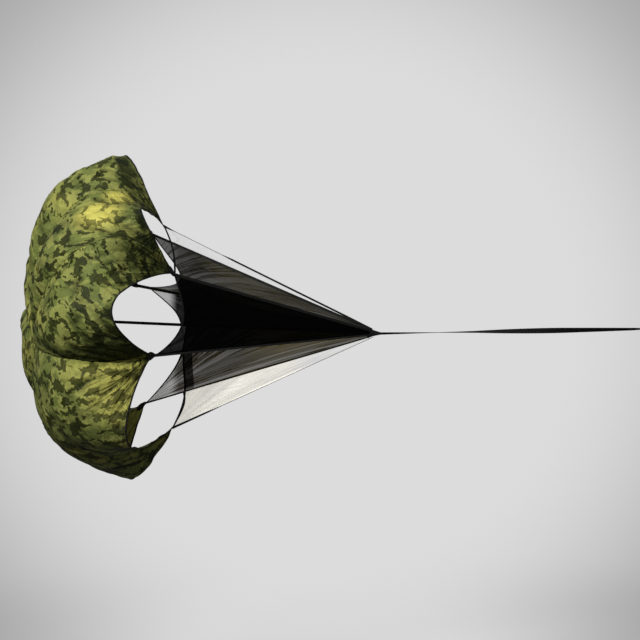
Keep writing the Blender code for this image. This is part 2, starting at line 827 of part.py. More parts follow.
def add_snap_hook(group, cutters):
    points, side = hook_outline()
    metal = nickel_plate()
    body = add_wire("snap_hook_body", points, HOOK_WIRE, metal, group)
    front = -NECK_CENTRE
    collar_end = front - COLLAR_LENGTH
    shank_end = collar_end - BOSS_LENGTH - WASHER_THICKNESS - 3 * CLEARANCE
    parts = [
        add_cylinder("collar", (front, 0, 0), (collar_end, 0, 0), COLLAR_RADIUS, metal, group),
        add_cylinder("shank", (front, 0, 0), (shank_end - HEAD_LENGTH / 2, 0, 0),
                     SHANK_RADIUS, metal, group),
        add_cylinder("head", (shank_end, 0, 0), (shank_end - HEAD_LENGTH, 0, 0),
                     HEAD_RADIUS, metal, group),
        add_cylinder("tang_end", (-GATE_PIVOT, -TANG_THICKNESS / 2, side),
                     (-GATE_PIVOT, TANG_THICKNESS / 2, side), TANG_RADIUS, metal, group),
        add_box("tang", (-GATE_PIVOT - TANG_ROOT - HOOK_WIRE / 2, -TANG_THICKNESS / 2,
                         side - TANG_RADIUS),
                (-GATE_PIVOT, TANG_THICKNESS / 2, side + TANG_RADIUS), metal, group),
    ]
    for part in parts:
        combine(body, part, "UNION", cutters)
    hole = pin_hole("tang_hole", side, group)
    combine(body, hole, "DIFFERENCE", cutters)
    return side, collar_end


def pin_hole(name, side, group):
    reach = GATE_RADIUS + CLEARANCE
    return add_cylinder(name, (-GATE_PIVOT, -reach, side), (-GATE_PIVOT, reach, side),
                        PIN_RADIUS + RUNNING_FIT, nickel_plate(), group)


def add_gate(side, group, cutters):
    metal = nickel_plate()
    gate = add_cylinder("hook_gate", (-GATE_PIVOT - GATE_HEEL, 0, side),
                        (-GATE_NOSE, 0, side), GATE_RADIUS, metal, group)
    reach = GATE_RADIUS + CLEARANCE
    slot = add_box("gate_slot", (-GATE_PIVOT - GATE_HEEL - CLEARANCE, -GATE_SLOT / 2, side - reach),
                   (-GATE_PIVOT - GATE_HEEL + GATE_SLOT_LENGTH, GATE_SLOT / 2, side + reach),
                   metal, group)
    combine(gate, slot, "DIFFERENCE", cutters)
    combine(gate, pin_hole("gate_hole", side, group), "DIFFERENCE", cutters)
    pin = add_cylinder("gate_pin", (-GATE_PIVOT, -GATE_RADIUS, side),
                       (-GATE_PIVOT, GATE_RADIUS, side), PIN_RADIUS, metal, group)
    spring_start = -GATE_PIVOT + TANG_RADIUS + CLEARANCE
    spring_end = -GATE_PIVOT - GATE_HEEL + GATE_SLOT_LENGTH - CLEARANCE
    top = side - SPRING_DROP
    spring = add_box("gate_spring", (spring_start, -SPRING_WIDTH / 2, top - SPRING_THICKNESS),
                     (spring_end, SPRING_WIDTH / 2, top), spring_steel(), group)
    for item in (gate, pin, spring):
        place_origin(item, (-GATE_PIVOT, 0.0, side))


def eye_outline(front):
    """Wire line of the eye in the XY plane, a slot as wide as the strap with rounded corners."""
    half = STRAP_WIDTH / 2 + EYE_SLACK + EYE_WIRE
    corner = EYE_CORNER
    rear = -EYE_BAR
    centres = [(front - corner, half - corner, 0), (rear + corner, half - corner, 90),
               (rear + corner, corner - half, 180), (front - corner, corner - half, 270)]
    points = []
    for x, y, start in centres:
        for turn in np.radians(np.linspace(start, start + 90, 6)):
            points.append((x + corner * math.cos(turn), y + corner * math.sin(turn), 0.0))
    return points


def add_strap_eye(collar_end, group, cutters):
    metal = nickel_plate()
    start = collar_end - CLEARANCE
    end = start - BOSS_LENGTH
    eye = add_wire("strap_eye", eye_outline((start + end) / 2), EYE_WIRE, metal, group, closed=True)
    boss = add_cylinder("boss", (start, 0, 0), (end, 0, 0), BOSS_RADIUS, metal, group)
    combine(eye, boss, "UNION", cutters)
    bore = add_cylinder("bore", (start + BOSS_LENGTH, 0, 0), (end - BOSS_LENGTH / 2, 0, 0),
                        SHANK_RADIUS + RUNNING_FIT, metal, group)
    combine(eye, bore, "DIFFERENCE", cutters)
    place_origin(eye, (-EYE_BAR, 0.0, 0.0))
    washer_start = end - CLEARANCE
    washer = add_cylinder("swivel_washer", (washer_start, 0, 0),
                          (washer_start - WASHER_THICKNESS, 0, 0), WASHER_RADIUS, metal, group)
    inner = add_cylinder("washer_hole", (washer_start + WASHER_THICKNESS, 0, 0),
                         (washer_start - 2 * WASHER_THICKNESS, 0, 0),
                         SHANK_RADIUS + RUNNING_FIT, metal, group)
    combine(washer, inner, "DIFFERENCE", cutters)


def build():
    clear_scene()
    parts = make_collection("speed_parachute")
    cutters = make_collection("cutters")
    add_gores(parts)
    add_hem_bindings(parts)
    add_crown_patch(parts)
    add_tip_tabs(parts)
    add_line_tapes(parts)
    add_net_bindings(parts)
    add_net_panels(parts)
    add_gather_sleeve(parts)
    add_tow_strap(parts)
    side, collar_end = add_snap_hook(parts, cutters)
    add_gate(side, parts, cutters)
    add_strap_eye(collar_end, parts, cutters)
    bpy.context.view_layer.update()


build()
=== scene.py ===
# %% [markdown]
# # A running parachute, drawn full of air
#
# A runner tows this canopy from a belt. Eight pieces of printed nylon are sewn side by side into a
# scalloped bag, a cone of fine net closes in front of it, and eight tapes carry the pull from the
# canopy's tips to one flat strap. We build it as a maker would think of it: cloth first, then the
# edges that are bound, then the net, the tapes and the strap, and last the light.
#
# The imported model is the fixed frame. Its cloth solids are plain, so finer cloth stands in for
# them here, in the same place and from the same formulas.
# %% Load the frame
import math

import bpy
import numpy as np
from mathutils import Matrix, Vector


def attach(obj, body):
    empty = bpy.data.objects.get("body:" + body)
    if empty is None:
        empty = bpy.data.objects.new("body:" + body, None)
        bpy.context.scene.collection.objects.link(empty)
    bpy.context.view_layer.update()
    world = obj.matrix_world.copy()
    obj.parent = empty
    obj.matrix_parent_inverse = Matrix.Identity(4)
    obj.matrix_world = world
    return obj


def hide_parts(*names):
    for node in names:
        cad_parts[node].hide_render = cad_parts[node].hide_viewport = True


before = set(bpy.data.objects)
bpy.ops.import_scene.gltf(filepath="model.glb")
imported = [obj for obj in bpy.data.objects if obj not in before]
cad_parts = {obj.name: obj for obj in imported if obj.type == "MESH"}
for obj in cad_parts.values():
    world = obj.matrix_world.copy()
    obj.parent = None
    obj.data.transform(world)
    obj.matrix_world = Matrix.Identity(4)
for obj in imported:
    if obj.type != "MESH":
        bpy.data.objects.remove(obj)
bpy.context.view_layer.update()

# %% [markdown]
# ## The camera, before anything else
#
# The photograph looks at the tow line from its side, level with it and from 13 degrees round
# towards the canopy's end. One pixel of it spans 2.7 mm at the apex of the net. From 4.5 m away
# that fixes the lens, and the apex, right of the picture's middle, fixes where the camera stands.
# %% Camera
PICTURE = 640
PIXEL_SPAN = 0.0027
CAMERA_DISTANCE = 4.5
APEX_PIXEL = (381.0, 333.5)
CAMERA_AZIMUTH = math.radians(-13.0)
CAMERA_ROLL = math.radians(-0.88)
SENSOR = 36.0

apex = np.array([-0.920, 0.0, 0.0])


def camera_axes():
    """Unit vectors back to the camera, to its right and up, after its small roll."""
    back = np.array([math.sin(CAMERA_AZIMUTH), -math.cos(CAMERA_AZIMUTH), 0.0])
    level = np.array([math.cos(CAMERA_AZIMUTH), math.sin(CAMERA_AZIMUTH), 0.0])
    plumb = np.array([0.0, 0.0, 1.0])
    right = level * math.cos(CAMERA_ROLL) + plumb * math.sin(CAMERA_ROLL)
    up = plumb * math.cos(CAMERA_ROLL) - level * math.sin(CAMERA_ROLL)
    return back, right, up


def put_in_scene(item, side, up, back, place):
    """Links a camera or a lamp at a place, with its own X, Y and Z along three unit vectors."""
    bpy.context.scene.collection.objects.link(item)
    matrix = np.eye(4)
    matrix[:3] = np.stack([side, up, back, place], axis=1)
    item.matrix_world = Matrix(matrix.tolist())
    return item


def add_camera():
    """A camera whose picture has the apex at its pixel and one pixel as long as it should be."""
    back, right, up = camera_axes()
    aside = (APEX_PIXEL[0] - PICTURE / 2) * PIXEL_SPAN
    below = (APEX_PIXEL[1] - PICTURE / 2) * PIXEL_SPAN
    place = apex - right * aside + up * below + back * CAMERA_DISTANCE
    data = bpy.data.cameras.new("camera")
    data.sensor_width = SENSOR
    data.lens = SENSOR * CAMERA_DISTANCE / (PICTURE * PIXEL_SPAN)
    data.clip_end = 60.0
    camera = put_in_scene(bpy.data.objects.new("camera", data), right, up, back, place)
    bpy.context.scene.camera = camera
    return camera


camera = add_camera()
print("lens %.2f mm at" % camera.data.lens, [round(x, 3) for x in camera.location])

# %% [markdown]
# ## Turning arrays into meshes
#
# Every piece of cloth is a grid of points: rows one way, columns the other. The same few lines
# join any grid into faces, so a piece needs only the formula for its points. Each piece also gets
# a UV map in metres, so that a weave has its real size wherever the cloth goes.
# %% Mesh helpers


def grid_faces(rows, columns, closed=False):
    """Four-cornered faces over a grid; `closed` joins the last column to the first."""
    across = columns if closed else columns - 1
    row, column = np.meshgrid(np.arange(rows - 1), np.arange(across), indexing="ij")
    following = (column + 1) % columns
    corners = [column, following, columns + following, columns + column]
    return (row[..., None] * columns + np.stack(corners, axis=-1)).reshape(-1, 4)


def make_piece(name, points, face_groups, finish, corner_uv=None):
    """A smooth mesh object from points and one or more arrays of faces."""
    mesh = bpy.data.meshes.new(name)
    loops = np.concatenate([group.reshape(-1) for group in face_groups])
    totals = np.concatenate([np.full(len(group), group.shape[1]) for group in face_groups])
    mesh.vertices.add(len(points))
    mesh.vertices.foreach_set("co", np.asarray(points, np.float32).reshape(-1))
    mesh.loops.add(len(loops))
    mesh.loops.foreach_set("vertex_index", loops.astype(np.int32))
    mesh.polygons.add(len(totals))
    mesh.polygons.foreach_set("loop_start", (np.cumsum(totals) - totals).astype(np.int32))
    if corner_uv is not None:
        layer = mesh.uv_layers.new(name="cloth")
        layer.data.foreach_set("uv", np.asarray(corner_uv, np.float32).reshape(-1))
    mesh.update(calc_edges=True)
    mesh.validate()
    mesh.polygons.foreach_set("use_smooth", np.full(len(totals), True))
    item = bpy.data.objects.new(name, mesh)
    bpy.context.scene.collection.objects.link(item)
    for entry in finish if isinstance(finish, (list, tuple)) else [finish]:
        mesh.materials.append(entry)
    return item


def unit(vectors):
    """Vectors divided by their own length."""
    return vectors / np.maximum(np.linalg.norm(vectors, axis=-1, keepdims=True), 1e-12)


def smooth_step(share):
    """3s^2 - 2s^3: rises from 0 to 1 with a level start and end."""
    share = np.clip(share, 0.0, 1.0)
    return share * share * (3 - 2 * share)


def surface_normal(grid):
    """Unit vectors square to a grid: its step across, crossed with its step down."""
    down, across = np.gradient(grid, axis=0), np.gradient(grid, axis=1)
    return unit(np.cross(across, down))


def corner_values(place):
    """The value at each corner of each face of a grid, in the order that `grid_faces` uses."""
    return np.stack([place[:-1, :-1], place[:-1, 1:], place[1:, 1:], place[1:, :-1]],
                    axis=2).reshape(-1, place.shape[-1])


def run_lengths(points, axis=0):
    """Distance run along one axis of a grid of points, from its first row or column."""
    steps = np.linalg.norm(np.diff(points, axis=axis), axis=-1)
    start = np.zeros_like(np.take(steps, [0], axis=axis))
    return np.cumsum(np.concatenate([start, steps], axis=axis), axis=axis)


def walk(grid, distance):
    """Points reached by walking a distance over each column of a grid, from its first row."""
    run = run_lengths(grid)
    last = np.clip((run < distance).sum(axis=0) - 1, 0, len(grid) - 2)
    column = np.arange(grid.shape[1])
    before, after = run[last, column], run[last + 1, column]
    share = ((distance - before) / np.maximum(after - before, 1e-12))[:, None]
    return grid[last, column] * (1 - share) + grid[last + 1, column] * share


print("helpers ready: a 3 by 4 grid has", len(grid_faces(3, 4)), "faces")

# %% [markdown]
# ## Shader arithmetic
#
# A cloth's finish is mostly sums: a weave is a sine times a strength, a print is a noise cut at a
# level. Nodes can do all of that, but wiring them by hand hides the sum. Here a socket is wrapped
# in a small class, so that writing `1 - mask * 0.5` adds the Math nodes that mean it.
# %% Socket arithmetic


def method(operation, turned=False):
    """A method that adds one Math node, with the value itself first or, where turned, last."""

    def add_node(value, *others):
        inputs = (*others, value) if turned else (value, *others)
        return value.nodes.node("ShaderNodeMath", {"operation": operation},
                                dict(enumerate(inputs)))

    return add_node


class Value:
    """A number in a shader. Arithmetic on it adds Math nodes to the tree that it belongs to."""

    __add__, __radd__ = method("ADD"), method("ADD", True)
    __sub__, __rsub__ = method("SUBTRACT"), method("SUBTRACT", True)
    __mul__, __rmul__ = method("MULTIPLY"), method("MULTIPLY", True)
    __truediv__, __rtruediv__ = method("DIVIDE"), method("DIVIDE", True)
    __pow__, sine, size = method("POWER"), method("SINE"), method("ABSOLUTE")
    at_least, at_most, angle_over = method("MAXIMUM"), method("MINIMUM"), method("ARCTAN2")

    def __init__(self, nodes, socket):
        self.nodes, self.socket = nodes, socket

    def above(self, level, soft=0.02):
        """0 below a level and 1 above it, with a soft step between."""
        return self.nodes.spread(self, level - soft, level + soft, smooth=True)


class Nodes:
    """A node tree, with a single method that adds any node and sets or links its sockets."""

    def __init__(self, owner):
        owner.use_nodes = True
        self.tree = owner.node_tree

    def node(self, kind, settings=None, values=None, out=0):
        item = self.tree.nodes.new(kind)
        for key, value in (settings or {}).items():
            setattr(item, key, value)
        for key, value in (values or {}).items():
            self.connect(value, item.inputs[key])
        return Value(self, item.outputs[out])

    def connect(self, value, socket):
        if isinstance(value, Value):
            self.tree.links.new(value.socket, socket)
        elif isinstance(value, tuple) and len(value) == 3 and socket.type == "RGBA":
            socket.default_value = (*value, 1.0)
        else:
            socket.default_value = value

    def spread(self, value, low, high, to_low=0.0, to_high=1.0, smooth=False):
        """The value moved from the range low to high into another, and held at its ends."""
        return self.node("ShaderNodeMapRange",
                         {"interpolation_type": "SMOOTHSTEP" if smooth else "LINEAR"},
                         {"Value": value, "From Min": low, "From Max": high,
                          "To Min": to_low, "To Max": to_high})

    def vectors(self, operation, *inputs, out=1):
        """A Vector Math node: its output 1 is a number, such as a distance, and 0 a vector."""
        return self.node("ShaderNodeVectorMath", {"operation": operation},
                         dict(enumerate(inputs)), out)

    def ray(self, kind):
        """1 where the shader is asked for by a ray of this kind, and 0 elsewhere."""
        return self.node("ShaderNodeLightPath", out=f"Is {kind} Ray")

    def part(self, vector, axis):
        """One part of a vector: 0 for X, 1 for Y and 2 for Z."""
        return self.node("ShaderNodeSeparateXYZ", None, {0: vector}, axis)


class Finish(Nodes):
    """One material, with short words for what a cloth's finish is made of."""

    def __init__(self, name):
        self.material = bpy.data.materials.new(name)
        super().__init__(self.material)
        self.shader = self.tree.nodes["Principled BSDF"]
        self.output = self.tree.nodes["Material Output"]

    def set(self, **sockets):
        """Principled sockets by name, with underscores for spaces."""
        for key, value in sockets.items():
            self.connect(value, self.shader.inputs[key.replace("_", " ")])

    def mix(self, share, first, second):
        """A blend of two colours, by the share of the second."""
        return self.node("ShaderNodeMix", {"data_type": "RGBA"},
                         {0: share, 6: first, 7: second}, 2)

    def along(self):
        """The cloth's own directions in metres: U, V and both as one vector."""
        place = self.node("ShaderNodeUVMap", {"uv_map": "cloth"})
        return self.part(place, 0), self.part(place, 1), place

    def solid_place(self):
        """Where a point lies in the object, in metres."""
        return self.node("ShaderNodeTexCoord", None, None, 3)

    def stretch(self, vector, scale, shift=(0.0, 0.0, 0.0), turn=0.0):
        return self.node("ShaderNodeMapping", None, {"Vector": vector, "Scale": scale,
                         "Location": shift, "Rotation": (0.0, 0.0, turn)})

    def noise(self, vector, scale, detail=2.0, roughness=0.5, distortion=0.0):
        return self.node("ShaderNodeTexNoise", None, {"Vector": vector, "Scale": scale,
                         "Detail": detail, "Roughness": roughness, "Distortion": distortion})

    def bump(self, height, distance, strength=1.0, below=None):
        values = {"Height": height, "Distance": distance, "Strength": strength}
        if below is not None:
            values["Normal"] = below
        return self.node("ShaderNodeBump", None, values)

    def let_light_through(self, colour, share):
        """Mixes in a Translucent shader, which passes light on to the cloth's other side."""
        glow = self.node("ShaderNodeBsdfTranslucent", None, {"Color": colour})
        blend = self.tree.nodes.new("ShaderNodeMixShader")
        self.connect(share, blend.inputs[0])
        self.tree.links.new(self.shader.outputs[0], blend.inputs[1])
        self.tree.links.new(glow.socket, blend.inputs[2])
        self.tree.links.new(blend.outputs[0], self.output.inputs[0])
        return self


print("shader helpers ready")

# %% [markdown]
# ## Printed nylon
#
# The canopy is light nylon, printed on its outside with four greens in ragged blotches about 20 to
# 40 mm across. A print like that could be drawn by hand, but a noise cut at a level gives edges of
# the same kind, so each ink that lies on the light ground is one such noise. All of them are bent
# by another noise first, which makes amoeba shapes out of round ones. Every gore is cut from
# another part of the roll, so its UV map starts elsewhere and the print breaks at each seam.
#
# Thin nylon passes light. A Translucent shader mixed with the surface gives the green light inside
# the canopy. Where the sun would fall through both sides, a glow of pale yellow is painted into the
# colour round the places of a table, and the same yellow marks random faded patches. Painted shade
# darkens the colour to nearly black where the cloth lies in shade: in folds and a few other places,
# which come with the mesh as an attribute, and along thin creases that fan out from a few pulled
# points, drawn here both as painted shade and as bumps.
# %% Camouflage nylon
LIGHT_OLIVE = (0.213, 0.226, 0.061)
# the inks on that ground: colour, stretch, shift and turn of the pattern, its blotches to a metre,
# the detail of their edges, and the level that a blotch starts at, with the softness of its edge
INKS = (
    ((0.115, 0.136, 0.034), (0.62, 1.0, 1.0), (0.0, 0.0, 0.0), 0.5, 25.0, 2.0, 0.500, 0.020),
    ((0.025, 0.029, 0.006), (0.55, 1.0, 1.0), (3.1, 1.7, 0.0), 0.6, 42.0, 2.2, 0.540, 0.012),
    ((0.012, 0.015, 0.002), (0.60, 1.0, 1.0), (7.3, 4.1, 0.0), 0.7, 54.0, 2.0, 0.625, 0.010),
)
INK_BEND = 0.040
# the pale yellow of random faded patches and of the painted glow where sun would fall through
FADE_AND_GLOW_YELLOW = (0.500, 0.455, 0.098)
# the near-black of painted shade, in folds, creases and shaded places
PAINTED_SHADE_COLOUR = (0.004, 0.007, 0.001)
# places where a glow of sun through the cloth is painted, how far it reaches in metres, and its
# strength
PAINTED_GLOW_PLACES = (
    ((-1.698, -0.233, 0.309), 0.075, 1.00),
    ((-1.642, -0.162, 0.352), 0.045, 0.90),
    ((-1.655, -0.312, -0.120), 0.110, 0.52),
    ((-1.761, -0.302, -0.072), 0.070, 0.20),
)
# points that creases fan out from, as X and Z, and how far the creases run
CREASE_POINTS = (
    ((-1.569, -0.042), 0.240),
    ((-1.512, 0.158), 0.190),
    ((-1.505, -0.232), 0.190),
    ((-1.518, 0.286), 0.150),
)
CREASES_ROUND = 5.5
CREASE_HALF_WIDTH = 0.045
RIPSTOP_PITCH = 0.0052
THREAD_HEIGHT = 0.00012
WRINKLE_HEIGHT = 0.0032
LIGHT_THROUGH = 0.22


def printed_nylon():
    """Light ground, the inks one over the other, then a painted sun glow and painted shade over
    all.
    """
    finish = Finish("camouflage_nylon")
    u, v, place = finish.along()
    bend = finish.node("ShaderNodeTexNoise", None,
                       {"Vector": place, "Scale": 38.0, "Detail": 3.0, "Roughness": 0.62}, 1)
    push = finish.vectors("MULTIPLY_ADD", bend, (INK_BEND, INK_BEND, 0.0), place, out=0)
    colour, shares = LIGHT_OLIVE, []
    for ink, stretch, shift, turn, blotches, detail, level, soft in INKS:
        tone = finish.noise(finish.stretch(push, stretch, shift, turn), blotches, detail)
        shares.append(tone.above(level, soft))
        colour = finish.mix(shares[-1], colour, ink)
    middle, dark = shares[:2]
    age = finish.noise(place, 5.0, 3.0)
    # random faded patches, and a painted glow round each place where sun would fall through the
    # cloth
    fade_and_painted_glow = age.above(0.62, 0.10) * 0.35
    for point, reach, strength in PAINTED_GLOW_PLACES:
        away = finish.vectors("DISTANCE", finish.solid_place(), point)
        fade_and_painted_glow = fade_and_painted_glow + (reach * 0.7 - away).above(0.0, reach * 0.45) * strength
    colour = finish.mix((fade_and_painted_glow * (1 - dark * 0.75)).at_most(0.9), colour, FADE_AND_GLOW_YELLOW)
    # painted shade: the fold attribute from the mesh and the crease lines darken the colour
    fold = finish.node("ShaderNodeAttribute", {"attribute_name": "fold"}, None, 2)
    lines = creases(finish)
    colour = finish.mix((fold * 0.92 + lines * 0.60).at_most(0.95), colour, PAINTED_SHADE_COLOUR)
    threads = finish.bump(ripstop(u, v) + age * 0.6, THREAD_HEIGHT, 0.6)
    wrinkles = wrinkled(finish, push) - lines * 1.6
    finish.set(Base_Color=colour, Roughness=0.52 + age * 0.16, Specular_IOR_Level=0.09,
               Normal=finish.bump(wrinkles, WRINKLE_HEIGHT, 0.75, threads))
    ink_share = (middle * 0.08 + dark * 0.18 + fold * 0.10).at_most(LIGHT_THROUGH)
    return finish.let_light_through((0.58, 0.56, 0.06), LIGHT_THROUGH - ink_share).material


def wrinkled(finish, place):
    """Height of long and of fine wrinkles: high where a stretched noise crosses its mean."""
    long_way = finish.stretch(place, (1.0, 0.35, 1.0), turn=-0.5)
    fine_way = finish.stretch(place, (1.0, 0.5, 1.0), turn=0.9)
    long_ones = 1 - (finish.noise(long_way, 34.0, 3.0, 0.55, 0.4) - 0.5).size() * 5.0
    fine_ones = 1 - (finish.noise(fine_way, 70.0, 2.0) - 0.5).size() * 5.0
    return long_ones + fine_ones * 0.4


def creases(finish):
    """Thin lines where a noise of the angle seen from a crease point crosses its mean."""
    x, z = (finish.part(finish.solid_place(), axis) for axis in (0, 2))
    lines = []
    for (from_x, from_z), reach in CREASE_POINTS:
        across, up = from_x - x, z - from_z
        away = (across * across + up * up) ** 0.5
        angle = up.angle_over(across)
        ray = finish.node("ShaderNodeCombineXYZ", None,
                          {0: angle * CREASES_ROUND, 1: away * 7.0, 2: from_z})
        tone = (finish.noise(ray, 1.0, 2.0, 0.55, 0.15) - 0.5).size()
        line = (CREASE_HALF_WIDTH - tone).above(0.0, 0.035)
        lines.append(line * (1 - away / reach).at_least(0.0) ** 0.7)
    return sum(lines).at_most(1.0)


def ripstop(u, v):
    """Raised threads in a square grid: high where either direction's sine is near its top."""
    turn = 2 * math.pi / RIPSTOP_PITCH
    return (u * turn).sine().above(0.9, 0.1) + (v * turn).sine().above(0.9, 0.1)


def nylon_back():
    """The inside of the same cloth, with faint blotches for the print that shows through."""
    finish = Finish("nylon_inside")
    u, v, place = finish.along()
    shadow = finish.noise(finish.stretch(place, (1.0, 0.7, 1.0)), 24.0, 2.0)
    colour = finish.mix(shadow.above(0.52, 0.06) * 0.6,
                        (0.300, 0.300, 0.075), (0.120, 0.125, 0.032))
    finish.set(Base_Color=colour, Roughness=0.58, Specular_IOR_Level=0.35,
               Normal=finish.bump(ripstop(u, v), THREAD_HEIGHT, 0.5))
    return finish.let_light_through((0.50, 0.52, 0.10), LIGHT_THROUGH).material


camouflage, inside_cloth = printed_nylon(), nylon_back()
print("nylon:", len(camouflage.node_tree.nodes), "nodes outside,",
      len(inside_cloth.node_tree.nodes), "inside")

# %% [markdown]
# ## Webbing, tape and binding
#
# The strap and the tabs are polyester webbing, the lines and the edges a thinner woven tape. Both
# show ribs across their width and a fine diagonal between them. The weave is worked out from the
# UV map in metres, so a rib is 1.1 mm on every webbing piece and 0.8 mm on every tape.
# %% Webbing and tape


def woven(name, colour, worn, rib, roughness):
    """Woven black polyester: ribs across the width, a diagonal twill and paler, worn high spots."""
    finish = Finish(name)
    u, v, place = finish.along()
    turn = 2 * math.pi / rib
    ribs = (v * turn).sine() * 0.5 + 0.5
    twill = ((u + v * 0.5) * (turn * 1.7)).sine() * 0.5 + 0.5
    fuzz = finish.noise(finish.stretch(place, (1.0, 0.35, 1.0)), 900.0, 3.0, 0.7)
    wear = finish.noise(place, 38.0, 4.0, 0.6).above(0.58, 0.08) * 0.6 + fuzz * 0.4
    colour = finish.mix(ribs * twill * 0.55 + wear * 0.30, colour, worn)
    finish.set(Base_Color=colour, Roughness=roughness + fuzz * 0.15, Specular_IOR_Level=0.10,
               Normal=finish.bump(ribs * 0.7 + twill * 0.3 + fuzz * 0.3, 0.00025, 0.8))
    return finish.material


webbing = woven("black_webbing", (0.0040, 0.0040, 0.0040), (0.014, 0.014, 0.014), 0.0011, 0.66)
tape = woven("black_tape", (0.0035, 0.0035, 0.0033), (0.012, 0.012, 0.011), 0.0008, 0.70)
print("woven finishes:", webbing.name, tape.name)

# %% [markdown]
# ## Fine net
#
# The cone is fine net with holes far smaller than a pixel of the photograph, so at this distance
# it is a veil. Modelling half a million holes would cost more than all the rest and still blur
# into grey. The veil is an opacity instead, one for each panel as the photograph shows them: four
# panels are dense and dark, three are nearly clear, and one is pale, with a painted glow in its
# threads that stands in for the light they catch. Pull lines run through it, thinner and thicker,
# and fan out from the ends of the tapes.
# %% Net finish
BARE_FROM = -1.462
CLEAR_FROM = -1.150
# painted light: the glow of the pale net's threads, brighter from LIT_FROM on, and painted shade in
# the folds
LIT_FROM = -1.285
LIT_THREADS = (0.77, 0.74, 0.665)
BRIGHT_THREADS = (1.0, 0.96, 0.87)
SHADED_THREADS = (0.36, 0.34, 0.29)


def veil(finish, colour, cover):
    """Matt threads that cover a share of what lies behind them, as an opacity."""
    finish.set(Base_Color=colour, Roughness=0.9, Specular_IOR_Level=0.02, Alpha=cover)
    finish.material.surface_render_method = "DITHERED"
    return finish.material


def net_finish(name, colour, cover, bare, spread, folds, pulls, glow, half_width, lengths):
    """A veil that covers a share of what lies behind it, with folds that fan out from both tips.

    A fold is a thin line where a noise of the angle seen from a tip crosses its mean. Behind the
    vents, past BARE_FROM, the share falls from `cover` to `bare`. Where `glow` isn't 0, a painted
    glow stands in for the light the threads catch: an emission, brighter from LIT_FROM on and with
    painted shade in the folds. From CLEAR_FROM to the apex the veil thins out.
    """
    finish = Finish(name)
    u, v, place = finish.along()
    light = (finish.noise(place, 420.0, 2.0, 0.7) - 0.5) * 0.6
    for side, pull, length in zip((1.0, -1.0), pulls, lengths):
        aside = u * side + half_width
        angle = aside.angle_over((length + 0.012) - v)
        ray = finish.node("ShaderNodeCombineXYZ", None, {0: angle * folds, 1: v * 1.4, 2: side})
        near = (1.0 - (aside / (half_width * 2.4)).at_most(1.0)) * pull
        tone = finish.noise(ray, 1.0, 4.0, 0.62, 0.25) - 0.5
        light = light + (tone * 1.6 + (0.024 - tone.size()).above(0.0, 0.014) * 1.3 - 0.25) * near
    x = finish.part(finish.solid_place(), 0)
    opening = (BARE_FROM - x).above(0.0, 0.014)
    alpha = (cover + (bare - cover) * opening + light * spread).at_least(0.0).at_most(0.997)
    if glow:
        alpha = alpha * (1 - (x - CLEAR_FROM).above(0.0, 0.045) * 0.92)
        # painted light and shade: an emission glow in place of the light the threads catch, darker
        # in the folds
        lit = finish.mix(x.above(LIT_FROM, 0.080), LIT_THREADS, BRIGHT_THREADS)
        shade = (light * -0.9 + 0.1).at_least(0.0).at_most(1.0)
        catch = finish.mix(shade, lit, SHADED_THREADS)
        finish.set(Emission_Color=catch, Emission_Strength=glow)
    return veil(finish, colour, alpha)


def sheer(name, colour, cover, dense_for=10.0):
    """Doubled net or sheer binding: one even veil, dense for its first `dense_for` metres."""
    finish = Finish(name)
    _, v, place = finish.along()
    threads = finish.noise(finish.stretch(place, (1.0, 0.3, 1.0)), 500.0, 2.0, 0.7) - 0.5
    alpha = (cover + threads * 0.25) * (1 - v.above(dense_for, 0.014))
    return veil(finish, colour, alpha.at_least(0.0))


sheer_pale = sheer("sheer_pale", (0.60, 0.57, 0.50), 0.05)
sheer_dark = sheer("sheer_dark", (0.001, 0.001, 0.001), 0.66, 0.112)
# thread colour, share covered, the same behind the vents, strength and count of the folds, and
# how strongly they fan out from the first and the second tip, and the painted glow of the threads
NET_LOOKS = [
    ((0.30, 0.29, 0.27), 0.030, 0.050, 0.05, 9.0, (1.0, 0.5), 0.0),
    ((0.0003, 0.0003, 0.0003), 0.985, 0.985, 0.02, 9.0, (1.0, 1.0), 0.0),
    ((0.10, 0.10, 0.09), 0.050, 0.060, 0.14, 8.0, (0.3, 1.0), 0.0),
    ((0.60, 0.58, 0.52), 0.780, 0.700, 0.25, 8.0, (1.0, 0.4), 0.80),
    ((0.0480, 0.0370, 0.0090), 0.962, 0.640, 0.30, 11.0, (1.3, 0.0), 0.0),
    ((0.0008, 0.0008, 0.0007), 0.985, 0.480, 0.10, 9.0, (0.2, 0.5), 0.0),
    ((0.0230, 0.0200, 0.0055), 0.980, 0.880, 0.22, 9.0, (1.2, 0.0), 0.0),
    ((0.40, 0.39, 0.36), 0.025, 0.040, 0.05, 9.0, (1.0, 0.5), 0.0),
]
print("net looks:", len(NET_LOOKS))

# %% [markdown]
# ## Plated and sprung steel
#
# The snap hook is a zinc casting with bright nickel on it, rubbed dull where the ring and the gate
# touch; here a noise scatters dull, rougher patches over it. A metal needs little colour of its
# own:
# the light of the room gives it away. Faint pits and hair-fine scratches break up the reflection,
# which is what tells a casting from a drawing.
# %% Metals


def plated(name, colour, roughness, scratch):
    """Bare metal, rougher and darker where a noise is high, with pits and hairlines as bumps."""
    finish = Finish(name)
    place = finish.solid_place()
    pits = finish.noise(place, 900.0, 3.0, 0.6)
    hairs = finish.noise(finish.stretch(place, (260.0, 2400.0, 2400.0)), 1.0, 2.0, 0.5)
    rubbed = finish.noise(place, 160.0, 2.0).above(0.55, 0.10)
    finish.set(Base_Color=finish.mix(rubbed * 0.4, colour, tuple(x * 0.82 for x in colour)),
               Metallic=1.0, Roughness=roughness + rubbed * 0.10 + hairs * scratch,
               Normal=finish.bump(pits * 0.4 + hairs * 0.6, 0.00004, 0.5))
    return finish.material


nickel = plated("nickel_plate", (0.62, 0.60, 0.57), 0.16, 0.14)
spring = plated("spring_steel", (0.45, 0.45, 0.46), 0.28, 0.20)
print("metals:", nickel.name, spring.name)

